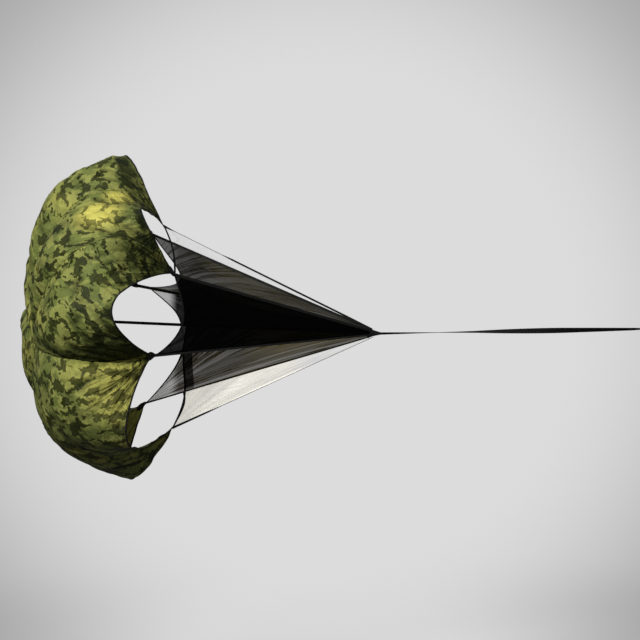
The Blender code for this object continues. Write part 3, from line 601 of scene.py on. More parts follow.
# %% [markdown]
# ## The shape of the canopy
#
# A canopy like this hangs from its tips. Each seam runs from the crown, out over a shoulder, and
# is pulled in to a tip by its tape. Between two seams the cloth swells outwards and its free edge,
# the hem, arches well forward. So a gore is a line between two seams, lifted towards a middle line
# by a sine arch: full in the middle, nothing at the seams. The tables hold one row for each tip
# and gore, because wind never fills a canopy evenly.
# %% Tables of the canopy
NET_REACH = 0.620
TIP_RADIUS = 0.260
CANOPY_LIFT = 0.045
CANOPY_DEPTH = 0.230
HEM_RADIUS = 0.420
SHOULDER_OUT = 0.165
BULGE_BACK = 0.060
crown = apex + np.array([-0.922, 0.0, -0.012])
forward = np.array([1.0, 0.0, 0.0])

# angle round the axis, then shares of TIP_RADIUS, NET_REACH, BULGE_BACK and SHOULDER_OUT
TIP_SHARES = [
    (22, 1.000, 0.965, 0.55, 1.50),
    (64, 0.990, 0.955, 0.45, 1.75),
    (109, 1.030, 1.047, 0.08, 1.00),
    (160, 1.135, 0.944, 0.17, 1.00),
    (214, 1.040, 1.005, 0.40, 1.00),
    (269.5, 0.920, 1.129, 1.60, 1.00),
    (298, 0.780, 1.026, 0.50, 1.00),
    (338, 0.955, 0.974, 0.25, 1.00),
]
# angle, shares of HEM_RADIUS, CANOPY_DEPTH and BULGE_BACK, then the middle line's root and shoulder
GORE_SHARES = [
    (46, 0.905, 1.074, 0.92, 0.72, 0.93),
    (85, 0.932, 0.694, 0.58, 0.66, 0.92),
    (134, 1.012, 0.870, 0.33, 0.62, 0.88),
    (187, 1.000, 1.052, 0.47, 0.56, 0.83),
    (238, 0.952, 0.835, 1.15, 0.62, 0.90),
    (281, 0.905, 0.704, 1.25, 0.70, 0.92),
    (318, 0.905, 0.900, 1.08, 0.72, 0.93),
    (365, 1.020, 1.015, 0.87, 0.73, 0.91),
]
# power of the hem's outward arch, power of its forward arch, and how the latter leans
HEM_SHARES = [
    (0.81, 0.81, 0.96),
    (0.55, 0.67, 1.00),
    (0.76, 0.68, 0.95),
    (0.75, 0.80, 1.10),
    (0.80, 0.80, 1.00),
    (0.80, 0.80, 1.00),
    (0.80, 0.80, 1.00),
    (0.66, 0.60, 0.78),
]
FULLNESS_SHARE = 0.80
SEAM_ROOT_SHARE = 0.70
SEAM_SHOULDER_SHARE = 0.50
MIDDLE_SHOULDER_SHARE = 0.13
COUNT = len(TIP_SHARES)
BODY = "canopy_and_strap"
print("gores:", COUNT)

# %% Formulas of the canopy


def around_axis(angle, radius, x):
    """A point at an angle from straight up, turning to the camera's side, about the raised axis."""
    turn = math.radians(angle)
    return np.array([x, -radius * math.sin(turn), CANOPY_LIFT + radius * math.cos(turn)])


def tip_point(index):
    """Where a tape meets the canopy, from its row in the table."""
    angle, radius_share, reach_share = TIP_SHARES[index % COUNT][:3]
    return around_axis(angle, TIP_RADIUS * radius_share, apex[0] - NET_REACH * reach_share)


def cubic(points, t):
    """Four points blended by (1-t)^3, 3t(1-t)^2, 3t^2(1-t) and t^3."""
    t = np.asarray(t)[..., None]
    rest = 1 - t
    return (rest**3 * points[0] + 3 * rest**2 * t * points[1]
            + 3 * rest * t**2 * points[2] + t**3 * points[3])


def span_from_crown(point):
    """How far a point lies from the crown, seen along the axis, and in which direction."""
    across = (point - crown) * (1 - forward)
    distance = np.linalg.norm(across)
    return distance, across / distance


def seam(index, u):
    """From the crown outwards past the tip's radius, then forward and in to the tip."""
    back_share, shoulder_share = TIP_SHARES[index % COUNT][3:]
    tip = tip_point(index)
    distance, outward = span_from_crown(tip)
    root = (crown + outward * SEAM_ROOT_SHARE * (distance + SHOULDER_OUT)
            - forward * BULGE_BACK * back_share)
    reach = distance + SHOULDER_OUT * shoulder_share
    shoulder = crown + outward * reach + forward * SEAM_SHOULDER_SHARE * (tip[0] - crown[0])
    return cubic((crown, root, shoulder, tip), u)


def gore_middle(index, u):
    """From the crown outwards to the top of the hem's arch, which lies forward of it."""
    angle, radius, depth, back_share, root_share, shoulder_share = GORE_SHARES[index % COUNT]
    top = around_axis(angle, HEM_RADIUS * radius, crown[0] + CANOPY_DEPTH * depth)
    distance, outward = span_from_crown(top)
    root = crown + outward * root_share * distance - forward * BULGE_BACK * back_share
    shoulder = (crown + outward * shoulder_share * distance
                + forward * MIDDLE_SHOULDER_SHARE * (top[0] - crown[0]))
    return cubic((crown, root, shoulder, top), u)


def gore_surface(index, u, v):
    """The line between two seams, plus the middle's lift times a power of a sine arch in v."""
    u, v = np.broadcast_arrays(u, v)
    out_power, fore_power, lean = HEM_SHARES[index % COUNT]
    left, right = seam(index, u), seam(index + 1, u)
    lift = gore_middle(index, u) - (left + right) / 2
    v = np.clip(v, 0.0, 1.0)
    near_hem = u**2
    out_arch = np.sin(np.pi * v) ** (FULLNESS_SHARE + (out_power - FULLNESS_SHARE) * near_hem)
    leaning = v ** (1 + (lean - 1) * near_hem)
    fore_arch = np.sin(np.pi * leaning) ** (
        FULLNESS_SHARE + (fore_power - FULLNESS_SHARE) * near_hem)
    arch = np.stack([fore_arch, out_arch, out_arch], axis=-1)
    share = v[..., None]
    return (1 - share) * left + share * right + arch * lift


print("tips at", [np.round(tip_point(i), 3).tolist() for i in range(2)], "...")

# %% [markdown]
# ## Creases
#
# Cloth under pull is never smooth. Three things fold it here. Each tip gathers the whole pull of
# its tape, so folds fan out from it over the gore. The stitching of a seam is a little shorter
# than the cloth, so the cloth puckers beside it. And the hem, which nothing holds flat, waves.
# Soft ripples fill the cloth between them. Two larger forms lie over these folds: beside a seam
# the cloth is tucked in towards the axis, deepest beside the third, and a sharp ridge crosses the
# shoulder on the camera's side.
#
# A simulation would find such folds, but the air load on a cut-out canopy is unknown, so they are
# sums of sines, placed and sized after the photograph. Where the cloth dips, and in a few other
# places, shade is painted: it goes along as a number for each point, which the nylon's finish reads
# to darken its colour.
# %% Crease formulas
CANOPY_ROWS = 104
GORE_COLUMNS = 40
SHELL = 0.0004
CREASE_SEED = 7
# how deep each kind of fold is, and how far a fan reaches, in metres
FAN_DEPTH = 0.0065
NEAR_FAN_DEPTH = 0.0095
NEAR_GORES = (1, 2)
FAN_REACH = 0.26
BILLOW_DEPTH = 0.0024
CROW_DEPTH = 0.0008
CRUMPLE_DEPTH = 0.0020
PUCKER_DEPTH = 0.0011
CROWN_RAY_DEPTH = 0.0006
HEM_WAVE_DEPTH = 0.0010


def ripples(x, y, wavelength, seed, waves=7):
    """A soft random height, mostly from -1 to 1: a sum of sine waves in seeded directions."""
    draw = np.random.default_rng(seed)
    height = np.zeros_like(x)
    for _ in range(waves):
        turn, phase, stretch = draw.uniform(0, 2 * np.pi, 2).tolist() + [draw.uniform(0.7, 1.5)]
        line = (x * math.cos(turn) + y * math.sin(turn)) * 2 * np.pi / (wavelength * stretch)
        height += np.sin(line + phase)
    return height / math.sqrt(waves) / 1.4


def tip_fan(beside, down, reach, count, seed):
    """Folds round a tip: sharp valleys of the angle, deepest at a third of the reach."""
    distance = np.hypot(beside, down)
    angle = np.arctan2(beside, down)
    wander = ripples(distance, angle * 0.1, 0.12, seed)
    valley = np.abs(np.sin(angle * count / 2 + wander + seed)) ** 0.7 - 0.6
    near = distance / reach
    return valley * near * np.exp(1 - 3.2 * near) * 2.0


def crease_height(index, run_u, run_v, width, v):
    """Sum of the folds of one gore, in metres, from the distances run over its cloth."""
    length = run_u[-1:, :]
    down = length - run_u
    left, right = run_v, width - run_v
    seed = CREASE_SEED + 10 * index
    inside = np.minimum(np.minimum(v, 1 - v) * 7, 1.0)
    fan_left = tip_fan(left, down, FAN_REACH, 13 + index % 3, seed)
    fan_right = tip_fan(right, down, FAN_REACH, 12 + (index + 1) % 3, seed + 1)
    fans = (fan_left + fan_right) * (NEAR_FAN_DEPTH if index in NEAR_GORES else FAN_DEPTH)
    billow = ripples(run_u, run_v, 0.095, seed + 2) * BILLOW_DEPTH * inside
    crow = ripples(run_u, run_v * 2.6, 0.060, seed + 3) * CROW_DEPTH * inside
    near_seam = np.minimum(left, right)
    pucker = (near_seam / 0.010) * np.exp(1 - near_seam / 0.010)
    pucker = pucker * np.sin(run_u * 2 * np.pi / 0.021 + 2 * ripples(run_u, run_u, 0.09, seed + 4))
    rays = np.sin(v * 2 * np.pi * 9 + seed) * np.exp(-run_u / 0.09) * np.minimum(run_u / 0.03, 1)
    wave = np.sin(run_v * 2 * np.pi / 0.052 + seed) * np.exp(-down / 0.030) * inside
    settled = np.minimum(run_u / 0.04, 1.0) * (0.3 + 0.7 * smooth_step(run_u / 0.28))
    crumple = -np.abs(ripples(run_u, run_v * 1.8, 0.075, seed + 5)) ** 0.6 * inside
    return (fans + billow + crow + crumple * CRUMPLE_DEPTH + pucker * PUCKER_DEPTH
            + rays * CROWN_RAY_DEPTH + wave * HEM_WAVE_DEPTH) * settled


def even_turn(count):
    """Shares from 0 to 1, closer together at both ends, where the cloth curves most."""
    even = np.linspace(0, 1, count)
    return (even + (1 - np.cos(np.pi * even)) / 2) / 2


# how far each seam is drawn in between crown and tip, how far the tuck reaches into the gore
# before it and the gore after it, all in metres, a power that moves it towards the tip, the share
# of its depth by which it also drops, and the strength of the shade painted in it, on the gore
# before it
SEAM_TUCKS = (
    (0.014, 0.15, 0.110, 0.9, 0.0, 0.0),
    (-0.028, 0.13, 0.130, 0.9, 0.0, 0.0),
    (0.052, 0.17, 0.050, 2.8, 0.36, 1.0),
    (0.012, 0.08, 0.080, 1.8, 0.0, 0.26),
    (0.010, 0.08, 0.080, 1.8, 0.0, 0.22),
    (0.006, 0.08, 0.080, 1.8, 0.0, 0.13),
    (0.004, 0.08, 0.080, 1.8, 0.0, 0.09),
    (0.004, 0.08, 0.080, 1.8, 0.0, 0.09),
)
# a sharp ridge over the shoulder on the camera's side: the plane that it lies in, its height and
# width in metres, and where it starts, as a height above the tow line and its farthest Y
RIDGE_NORMAL = np.array([0.886, -0.205, 0.416])
RIDGE_PLACE = -1.2500
RIDGE_HEIGHT = 0.0070
RIDGE_REACH = 0.018
RIDGE_LOWEST = 0.22
RIDGE_FARTHEST = 0.12
# places where shade is painted, how far it reaches in metres, and how strong it is
SHADED_PLACES = (
    ((-1.605, -0.320, 0.215), 0.120, 0.50),
    ((-1.600, -0.110, 0.395), 0.070, 0.22),
    ((-1.690, -0.340, 0.000), 0.080, 0.35),
    ((-1.800, -0.180, 0.270), 0.070, 0.25),
    ((-1.748, -0.365, 0.082), 0.090, 0.22),
)


def tuck(index, u, distance, after):
    """Depth of a seam's tuck: an arch from crown to tip, fading out with the distance beside it."""
    depth, before_reach, after_reach, power = SEAM_TUCKS[index % COUNT][:4]
    fade = np.maximum(1 - distance / (after_reach if after else before_reach), 0.0) ** 1.6
    return depth * np.sin(np.pi * u**power) * fade


def ridge(points):
    """Near the top, a height that falls off with the distance from a plane, and that distance."""
    away = points @ RIDGE_NORMAL - RIDGE_PLACE
    near_top = (np.clip((points[..., 2] - RIDGE_LOWEST) / 0.05, 0, 1)
                * (points[..., 1] < RIDGE_FARTHEST))
    return RIDGE_HEIGHT * np.exp(-np.abs(away) / RIDGE_REACH) * near_top, away * near_top


def towards_axis(points):
    """Unit vectors square to the tow line, from the points to the canopy's raised axis."""
    return unit(([0.0, 0.0, CANOPY_LIFT] - points) * [0.0, 1.0, 1.0])


def gore_cloth(index):
    """One creased gore: its points, the distances run over it down and across, and its shade."""
    u = np.linspace(0, 1, CANOPY_ROWS + 1)[:, None] ** 0.9
    v = even_turn(GORE_COLUMNS + 1)[None, :]
    plain = gore_surface(index, u, v)
    run_u, run_v = run_lengths(plain, 0), run_lengths(plain, 1)
    width = run_v[:, -1:]
    normal = surface_normal(plain)
    height = crease_height(index, run_u, run_v, width, np.broadcast_to(v, run_v.shape))
    height[:, 0] = height[:, -1] = 0.0
    tucks = tuck(index, u, run_v, True), tuck(index + 1, u, width - run_v, False)
    pull = tucks[0] + tucks[1]
    drop = tucks[0] * SEAM_TUCKS[index][4] + tucks[1] * SEAM_TUCKS[(index + 1) % COUNT][4]
    crest, beyond = ridge(plain)
    creased = (plain + normal * (height + crest)[..., None]
               + towards_axis(plain) * pull[..., None] - [0.0, 0.0, 1.0] * drop[..., None])
    shade = fold_shade(index, plain, height, beyond, u, run_v, width)
    return creased, run_u, run_v - width / 2, shade


def fold_shade(index, points, height, beyond, u, run_v, width):
    """The sum of five painted shades, held between 0 on open cloth and 1.

    They lie where the folds are low, beyond the ridge, in the tuck before the next seam, low on
    the canopy, and round the places of the table.
    """
    low = np.clip(-height / 0.0042, 0, 1) ** 1.3 * 0.8
    flap = np.clip(beyond / 0.006, 0, 1) * 0.42
    reach = 0.062 + 0.088 * u**1.5
    beside = np.clip(1.5 - 1.5 * (width - run_v) / reach, 0, 1) * np.clip((u - 0.25) / 0.22, 0, 1)
    in_tuck = beside * SEAM_TUCKS[(index + 1) % COUNT][5]
    below = np.clip((-0.20 - points[..., 2]) / 0.10, 0, 1) * 0.35
    total = low + flap + in_tuck + below
    for middle, extent, strength in SHADED_PLACES:
        away = np.linalg.norm(points - np.array(middle), axis=-1)
        total = total + smooth_step(1.3 - 1.3 * away / extent) * strength
    return np.clip(total, 0, 1)


gores = [gore_cloth(index) for index in range(COUNT)]
print("gore lengths from crown to hem: %s m" % [round(float(g[1][-1, 20]), 3) for g in gores])

# %% [markdown]
# ## One continuous sheet
#
# The eight gores share their seam points, so the canopy is a single sheet with no gaps: columns go
# all the way round, and at the crown every column meets in one point. Solidify gives the sheet two
# sides, the printed one outside and the plain one inside.
# %% Canopy cloth
# how each gore was turned on the roll when it was cut, in degrees
CUT_TURNS = (-20, -40, 62, 30, 75, 10, -35, 50)


def laid_on_roll(index, down, across):
    """The gore's own flat coordinates, turned and moved to its place on the roll of cloth."""
    turn = math.radians(CUT_TURNS[index])
    return np.stack([across * math.cos(turn) - down * math.sin(turn) + 1.3 * index,
                     across * math.sin(turn) + down * math.cos(turn) + 0.7 * index], axis=-1)


def canopy_sheet():
    """The gores' grids side by side, and one fan of triangles in place of their first row."""
    columns = GORE_COLUMNS * COUNT
    around = np.concatenate([gore[0][:, :-1] for gore in gores], axis=1)
    # the painted shade at each point, which the nylon's finish reads from the fold attribute
    folds = np.concatenate([gore[3][:, :-1] for gore in gores], axis=1)
    points = np.concatenate([crown[None, :], around[1:].reshape(-1, 3)])
    quads = grid_faces(CANOPY_ROWS, columns, closed=True) + 1
    column = np.arange(columns)
    fan = np.stack([np.zeros_like(column), column + 1, (column + 1) % columns + 1], axis=-1)
    uv = np.stack([laid_on_roll(index, down, across)
                   for index, (_, down, across, _) in enumerate(gores)])
    left, right = (side.transpose(1, 0, 2, 3).reshape(CANOPY_ROWS, columns, 2)
                   for side in (uv[:, 1:, :-1], uv[:, 1:, 1:]))
    quad_uv = np.stack([left[:-1], right[:-1], right[1:], left[1:]], axis=2)
    fan_uv = np.stack([(left[0] + right[0]) / 2 - [0, 0.008], left[0], right[0]], axis=1)
    corner_uv = np.concatenate([quad_uv.reshape(-1, 2), fan_uv.reshape(-1, 2)])
    item = make_piece("canopy_cloth", points, [quads, fan], [camouflage, inside_cloth], corner_uv)
    layer = item.data.attributes.new("fold", "FLOAT", "POINT")
    layer.data.foreach_set("value", np.append(0.0, folds[1:]).astype(np.float32))
    return item


canopy = canopy_sheet()
shell = canopy.modifiers.new("cloth thickness", "SOLIDIFY")
shell.thickness = SHELL
shell.offset = 0.0
shell.material_offset = 1
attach(canopy, BODY)
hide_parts("crown_patch", *[f"canopy_gore_{i + 1}" for i in range(COUNT)])
outward = [(face.center - Vector((-1.5, 0.0, CANOPY_LIFT))).dot(face.normal) > 0
           for face in canopy.data.polygons]
print("canopy:", len(outward), "faces, %.0f%% face outwards" % (100 * np.mean(outward)))

# %% [markdown]
# ## Strips that follow the cloth
#
# A seam is two edges folded into each other and stitched down, so it stands up as a narrow ridge.
# A hem is a tape folded over the edge. Both are narrow closed profiles carried along a line on the
# cloth. `walk` finds where each corner of the profile lands on the creased cloth, and a lift along
# the normal takes it off the surface, so the strip follows every fold under it.
# %% Strips


def strip_piece(name, rings, finish):
    """A closed band: rings of profile points along a line, with a flat cap at each end."""
    count, sides = rings.shape[:2]
    caps = np.stack([np.arange(sides), (count - 1) * sides + np.arange(sides)[::-1]])
    faces = [grid_faces(count, sides, closed=True)[:, ::-1], caps]
    along = run_lengths(rings, 0).mean(axis=1)
    around = run_lengths(np.concatenate([rings, rings[:, :1]], axis=1), 1)
    place = np.stack([around, np.broadcast_to(along[:, None], around.shape)], axis=-1)
    quad_uv = corner_values(place).reshape(-1, 4, 2)[:, ::-1].reshape(-1, 2)
    corner_uv = np.concatenate([quad_uv, place[0, :-1], place[-1, :-1][::-1]])
    item = make_piece(name, rings.reshape(-1, 3), faces, finish, corner_uv)
    item.data.set_sharp_from_angle(angle=math.radians(50))
    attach(item, BODY)
    return item


# one side of a folded tape, from its free edge to the fold: shares of its width and half thickness
FOLDED_SIDE = ((1.0, 0.6), (0.93, 1.0), (0.5, 1.05), (0.08, 1.0))


def folded_edge(grid, width, thickness):
    """A tape folded over the first row of a grid: out along one face, round the edge and back."""
    normal = surface_normal(grid)[0]
    inward = unit(walk(grid, 0.002) - grid[0])
    half = thickness / 2
    side = [(width * reach, half * lift) for reach, lift in FOLDED_SIDE]
    side.append((-half * 0.9, half * 0.45))
    outline = side + [(reach, -lift) for reach, lift in side[::-1]]
    rings = [(walk(grid, reach) if reach > 0 else grid[0] + inward * reach) + normal * lift
             for reach, lift in outline]
    return np.stack(rings, axis=1)


HEM_WIDTH = 0.0038
HEM_THICKNESS = 0.0016
for index, (cloth, _, _, _) in enumerate(gores):
    rings = folded_edge(cloth[::-1], HEM_WIDTH, HEM_THICKNESS)
    hem = strip_piece(f"hem_tape_{index + 1}", rings[1:-1], tape)
    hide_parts(f"hem_binding_{index + 1}")
print("hem of gore 1 is %.3f m long" % run_lengths(gores[0][0][-1:], 1)[0, -1])

SEAM_WIDTH = 0.0060
SEAM_HEIGHT = 0.0009
SEAM_LIFTS = (0.1, 1.0, 1.1, 1.0, 0.1)
for index, (cloth, _, _, _) in enumerate(gores):
    before = gores[index - 1][0][:, ::-1].transpose(1, 0, 2)
    after = cloth.transpose(1, 0, 2)
    middle = cloth[:, 0]
    sides = [walk(before, SEAM_WIDTH / 2), walk(before, SEAM_WIDTH / 4), middle,
             walk(after, SEAM_WIDTH / 4), walk(after, SEAM_WIDTH / 2)]
    outward = unit(np.cross(sides[4] - sides[0], np.gradient(middle, axis=0)))
    outward *= np.sign((outward * (middle - crown + [0.05, 0, 0])).sum())
    lifts = [outward * SEAM_HEIGHT * share for share in SEAM_LIFTS]
    top = [side + lift for side, lift in zip(sides, lifts)]
    under = [side - lift for side, lift in zip(sides, lifts)][::-1]
    piece = strip_piece(f"seam_{index + 1}", np.stack(top + under, axis=1)[6:-3], camouflage)
print("seams:", COUNT, "ridges %.1f mm wide" % (SEAM_WIDTH * 1000))

# %% [markdown]
# ## Net panels and their bound edges
#
# A net panel is flat cloth between two tapes, so a straight line from the apex to the cut edge
# lies in it everywhere. The cut edge is drawn back towards the apex by a leaning sine, which
# leaves a vent between the net and the canopy's hem. Air presses the net outwards, so the panel
# also has a shallow belly. The third panel ends in a wide doubled hem of dark, sheer net. The last
# one is bound with sheer net that hardly shows, and the others with black tape.
# %% Net formulas
# depth and lean of the cut, whether it is deepest towards the second tape, and the shares of the
# first and the second tape where the edge leaves them
NET_SHARES = [
    (0.012, 1.00, False, 1.00, 1.00),
    (0.080, 0.76, True, 1.00, 1.00),
    (0.034, 1.50, False, 0.88, 1.00),
    (0.026, 0.87, True, 1.00, 0.84),
    (0.077, 0.82, False, 1.00, 0.72),
    (0.040, 0.95, False, 0.74, 0.95),
    (0.160, 0.60, False, 1.00, 1.00),
    (0.045, 0.70, False, 0.93, 1.00),
]
NET_ROWS = 60
NET_COLUMNS = 28
NET_FOOT_SHARE = 0.052
NET_BELLY = 0.004
NET_PULLS = 7
NET_PULL_HEIGHT = 0.0016
NET_BINDING = (0.0048, 0.0012)
SHEER_EDGE = 7
DOUBLED_HEM = 2
DOUBLED_SIZE = (0.027, 0.0018)


def net_surface(index, w, s):
    """A share w of the way from the apex to the edge, which a leaning sine draws in."""
    w, s = np.broadcast_arrays(w, s)
    depth, lean, towards_second, start, end = NET_SHARES[index]
    leaning = 1 - (1 - s) ** lean if towards_second else s**lean
    line = tip_point(index) + s[..., None] * (tip_point(index + 1) - tip_point(index))
    drawn = (1 - depth * np.sin(np.pi * leaning)) * (start + (end - start) * s)
    flat = apex + (w * drawn)[..., None] * (line - apex)
    outward = unit(np.cross(tip_point(index + 1) - apex, tip_point(index) - apex))
    outward = outward * np.sign(outward @ (tip_point(index) + tip_point(index + 1) - 2 * apex
                                           + [2 * NET_REACH, 0, -2 * CANOPY_LIFT]))
    belly = NET_BELLY * np.sin(np.pi * s) * w**1.5
    pulls = np.sin(s * 2 * np.pi * NET_PULLS + 3 * index + 2 * np.sin(w * 6)) * np.sin(np.pi * s)
    return flat + (belly + NET_PULL_HEIGHT * w * (1 - w**8) * pulls)[..., None] * outward


def net_cloth(index):
    """A panel's grid of points, from where the gather holds it to its cut edge."""
    w = np.linspace(NET_FOOT_SHARE, 1, NET_ROWS)[:, None]
    return net_surface(index, w, even_turn(NET_COLUMNS + 1)[None, :])


for index in range(COUNT):
    grid = net_cloth(index)
    down, side = run_lengths(grid, 0), run_lengths(grid, 1)
    side = (side / np.maximum(side[:, -1:], 1e-9) - 0.5) * side[-1, -1]
    finish = net_finish(f"net_{index + 1}", *NET_LOOKS[index], float(side[-1, -1]),
                        (float(down[-1, 0]), float(down[-1, -1])))
    faces = grid_faces(*grid.shape[:2])
    panel = make_piece(f"net_{index + 1}", grid.reshape(-1, 3), [faces], finish,
                       corner_values(np.stack([side, down], axis=-1)))
    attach(panel, BODY)
    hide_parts(f"net_panel_{index + 1}")
    binding = strip_piece(f"net_edge_{index + 1}", folded_edge(grid[::-1], *NET_BINDING),
                          sheer_pale if index == SHEER_EDGE else tape)
    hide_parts(f"net_binding_{index + 1}")
    if index == DOUBLED_HEM:
        rings = folded_edge(grid[::-1], *DOUBLED_SIZE)
        strip_piece(f"net_hem_{index + 1}", rings, sheer_dark)

# %% [markdown]
# ## Tapes and tabs
#
# Eight flat tapes run from the tips to the apex along the edges of the net. Each is a thin strip
# with round edges, turned about its own length as the photograph shows it, some with their face to
# the camera and some with an edge. A short webbing tab is sewn over each tip, where tape, seam and
# hems meet, and takes the load into the cloth: widest halfway, drawn in again at its end.
# %% Line tapes
TAPE_WIDTH = 0.0085
# shares of its length from the tip, and of its width there
TAPE_TAPER = ((0, 0.85, 1), (1, 0.95, 0.6))
# for each tape: shares of its length from the tip, and degrees that it is turned there, where 0
# shows its whole width to the camera and 90 only its edge
TAPE_TURNS = (
    ((0.0, 0.02, 0.05, 0.26, 0.30, 1.0), (45, 62, 88, 88, 60, 50)),
    ((0.0, 1.0), (25, 25)),
    ((0.0, 1.0), (20, 20)),
    ((0.0, 0.16, 0.22, 0.50, 1.0), (50, 62, 84, 89, 89)),
    ((0.0, 1.0), (62, 66)),
    ((0.0, 1.0), (20, 20)),
    ((0.0, 1.0), (20, 20)),
    ((0.0, 1.0), (45, 45)),
)
CAMERA_SIDE = unit(np.array([-0.225, -0.974, 0.0]))
TAPE_THICKNESS = 0.0011


def flat_section(corners=12):
    """Corners of a strip with round edges, one wide and one thick: a superellipse."""
    turn = np.linspace(0, 2 * np.pi, corners, endpoint=False) + np.pi / corners
    x, y = np.cos(turn), np.sin(turn)
    return np.stack([np.sign(x) * np.abs(x) ** 0.35, np.sign(y) * np.abs(y) ** 0.6], axis=-1) / 2


def ribbon(points, across, widths, thickness):
    """Rings of a flat section along a line of points, with its width along `across`."""
    heading = unit(np.gradient(points, axis=0))
    across = unit(across - np.sum(across * heading, axis=-1, keepdims=True) * heading)
    through = np.cross(heading, across)
    section = flat_section()
    wide = np.broadcast_to(widths, len(points))[:, None, None] * section[None, :, :1]
    thick = thickness * section[None, :, 1:]
    return points[:, None, :] + wide * across[:, None, :] + thick * through[:, None, :]


def beside_tip(index):
    """The direction across a tip, round the axis."""
    turn = math.radians(TIP_SHARES[index % COUNT][0])
    return np.array([0.0, -math.cos(turn), -math.sin(turn)])


for index in range(COUNT):
    tip = tip_point(index)
    share = np.linspace(0.0, 1 - NET_FOOT_SHARE * 0.8, 64)[:, None]
    line = tip + share * (apex - tip)
    widths = TAPE_WIDTH * np.interp(share[:, 0], *TAPE_TAPER)
    heading = unit(apex - tip)
    edge_on = unit(CAMERA_SIDE - (CAMERA_SIDE @ heading) * heading)
    turn = np.radians(np.interp(share[:, 0], *TAPE_TURNS[index]))[:, None]
    across = np.cross(heading, edge_on) * np.cos(turn) + edge_on * np.sin(turn)
    rings = ribbon(line, across, widths, TAPE_THICKNESS)
    piece = strip_piece(f"tape_{index + 1}", rings, tape)
    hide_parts(f"line_tape_{index + 1}")
print("tape 1 is %.3f m long" % np.linalg.norm(line[-1] - line[0]))

# %% Tip tabs
TAB_LENGTH = 0.029
TAB_THICKNESS = 0.0024
# shares of a tab's length from the tip, and how wide it is there
TAB_WIDTHS = ((-0.15, 0.0085), (0.1, 0.0160), (0.5, 0.0230), (0.85, 0.0200), (1.0, 0.0150))

for index in range(COUNT):
    tip = tip_point(index)
    run = unit(seam(index, np.array(0.985)) - tip)
    share = np.linspace(TAB_WIDTHS[0][0], TAB_WIDTHS[-1][0], 14)
    line = tip + run * TAB_LENGTH * share[:, None]
    widths = np.interp(share, *zip(*TAB_WIDTHS))
    rings = ribbon(line, np.broadcast_to(beside_tip(index), line.shape), widths, TAB_THICKNESS)
    piece = strip_piece(f"tab_{index + 1}", rings, webbing)
    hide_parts(f"tip_tab_{index + 1}")
print("tabs:", COUNT)

# %% [markdown]
# ## Gather and tow strap
#
# At the apex the tapes and the net are drawn together, wrapped, and sewn to one flat strap. The
# strap is a single length of 15 mm webbing that makes half a turn on its way to the runner, then
# goes round the bar of an eye and is sewn back on itself. The runner holds it taut, so it ends
# just outside the picture in its hook, and its whole route is this one line.
# %% Gather sleeve
SLEEVE_LENGTH = 0.036
# half the sleeve's width where it is round, then half its width and height at the strap
SLEEVE_ROUND = 0.0150
SLEEVE_END = (0.0085, 0.0030)


def sleeve_ring(share, turn):
    """A round section at the tapes that flattens towards the strap, fluted by the folds in it."""
    ease = share**0.6
    power = 2 / (2 + 4 * share)
    flute = 1 + 0.05 * (1 - share) * np.cos(turn * 8) + 0.015 * np.cos(turn * 19)
    half_width, half_height = ((SLEEVE_ROUND + (end - SLEEVE_ROUND) * ease) * flute
                               for end in SLEEVE_END)
    y = half_width * np.sign(np.cos(turn)) * np.abs(np.cos(turn)) ** power
    z = half_height * np.sign(np.sin(turn)) * np.abs(np.sin(turn)) ** power
    lean = CANOPY_LIFT / NET_REACH * SLEEVE_LENGTH * (1 - share)
    return np.stack([apex[0] - SLEEVE_LENGTH * (1 - share) + 0 * y, y, z + lean], axis=-1)


share, turn = np.meshgrid(np.linspace(0, 1, 26), np.linspace(0, 2 * np.pi, 64, endpoint=False),
                          indexing="ij")
gather = strip_piece("gather", sleeve_ring(share, turn)[:, ::-1], webbing)
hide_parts("gather_sleeve")
print("gather: %.0f mm long" % (SLEEVE_LENGTH * 1000))

# %% Tow strap
STRAP_WIDTH = 0.015
STRAP_THICKNESS = 0.0014
# places along the tow line, and degrees that the strap is turned there from lying flat
STRAP_TURNS = (
    (-0.920, -0.867, -0.812, -0.757, -0.701, -0.646, -0.577, -0.480,
     -0.438, -0.355, -0.294, -0.250, -0.203, -0.188, -0.160, -0.135),
    (-24, -17, -8, 0, 9, 21, 44, 74, 92, 121, 134, 142, 151, 152, 166, 180),
)
CLEARANCE = 0.0004
EYE_BAR = 0.0710
EYE_BAR_RADIUS = 0.00175
FOLD = 0.060
FOLD_EASE = 0.020
FOLD_BEND = EYE_BAR_RADIUS + CLEARANCE + STRAP_THICKNESS / 2
FOLD_LAYER = STRAP_THICKNESS + CLEARANCE
# from this far along the strap, in its folded end, it stays turned half round
FOLD_STARTS = 0.84


def strap_route():
    """Straight from the apex, down round the eye's bar, over it and back, as X and Z with no Y."""
    fold_end = -EYE_BAR - FOLD_EASE
    share = np.linspace(0, 1, 12)[1:]
    turn = np.linspace(-np.pi / 2, np.pi / 2, 18)[1:]
    stretches = (
        (np.linspace(apex[0] + CLEARANCE, fold_end, 150), 0.0),
        (-EYE_BAR - FOLD_EASE * (1 - share), -FOLD_BEND * smooth_step(share)),
        (-EYE_BAR + FOLD_BEND * np.cos(turn), FOLD_BEND * np.sin(turn)),
        (-EYE_BAR - FOLD_EASE * share,
         FOLD_BEND + (FOLD_LAYER - FOLD_BEND) * smooth_step(share)),
        (np.linspace(fold_end, -EYE_BAR - FOLD, 8)[1:], FOLD_LAYER),
    )
    return np.concatenate([np.stack([x, 0 * x, 0 * x + z], axis=-1) for x, z in stretches])


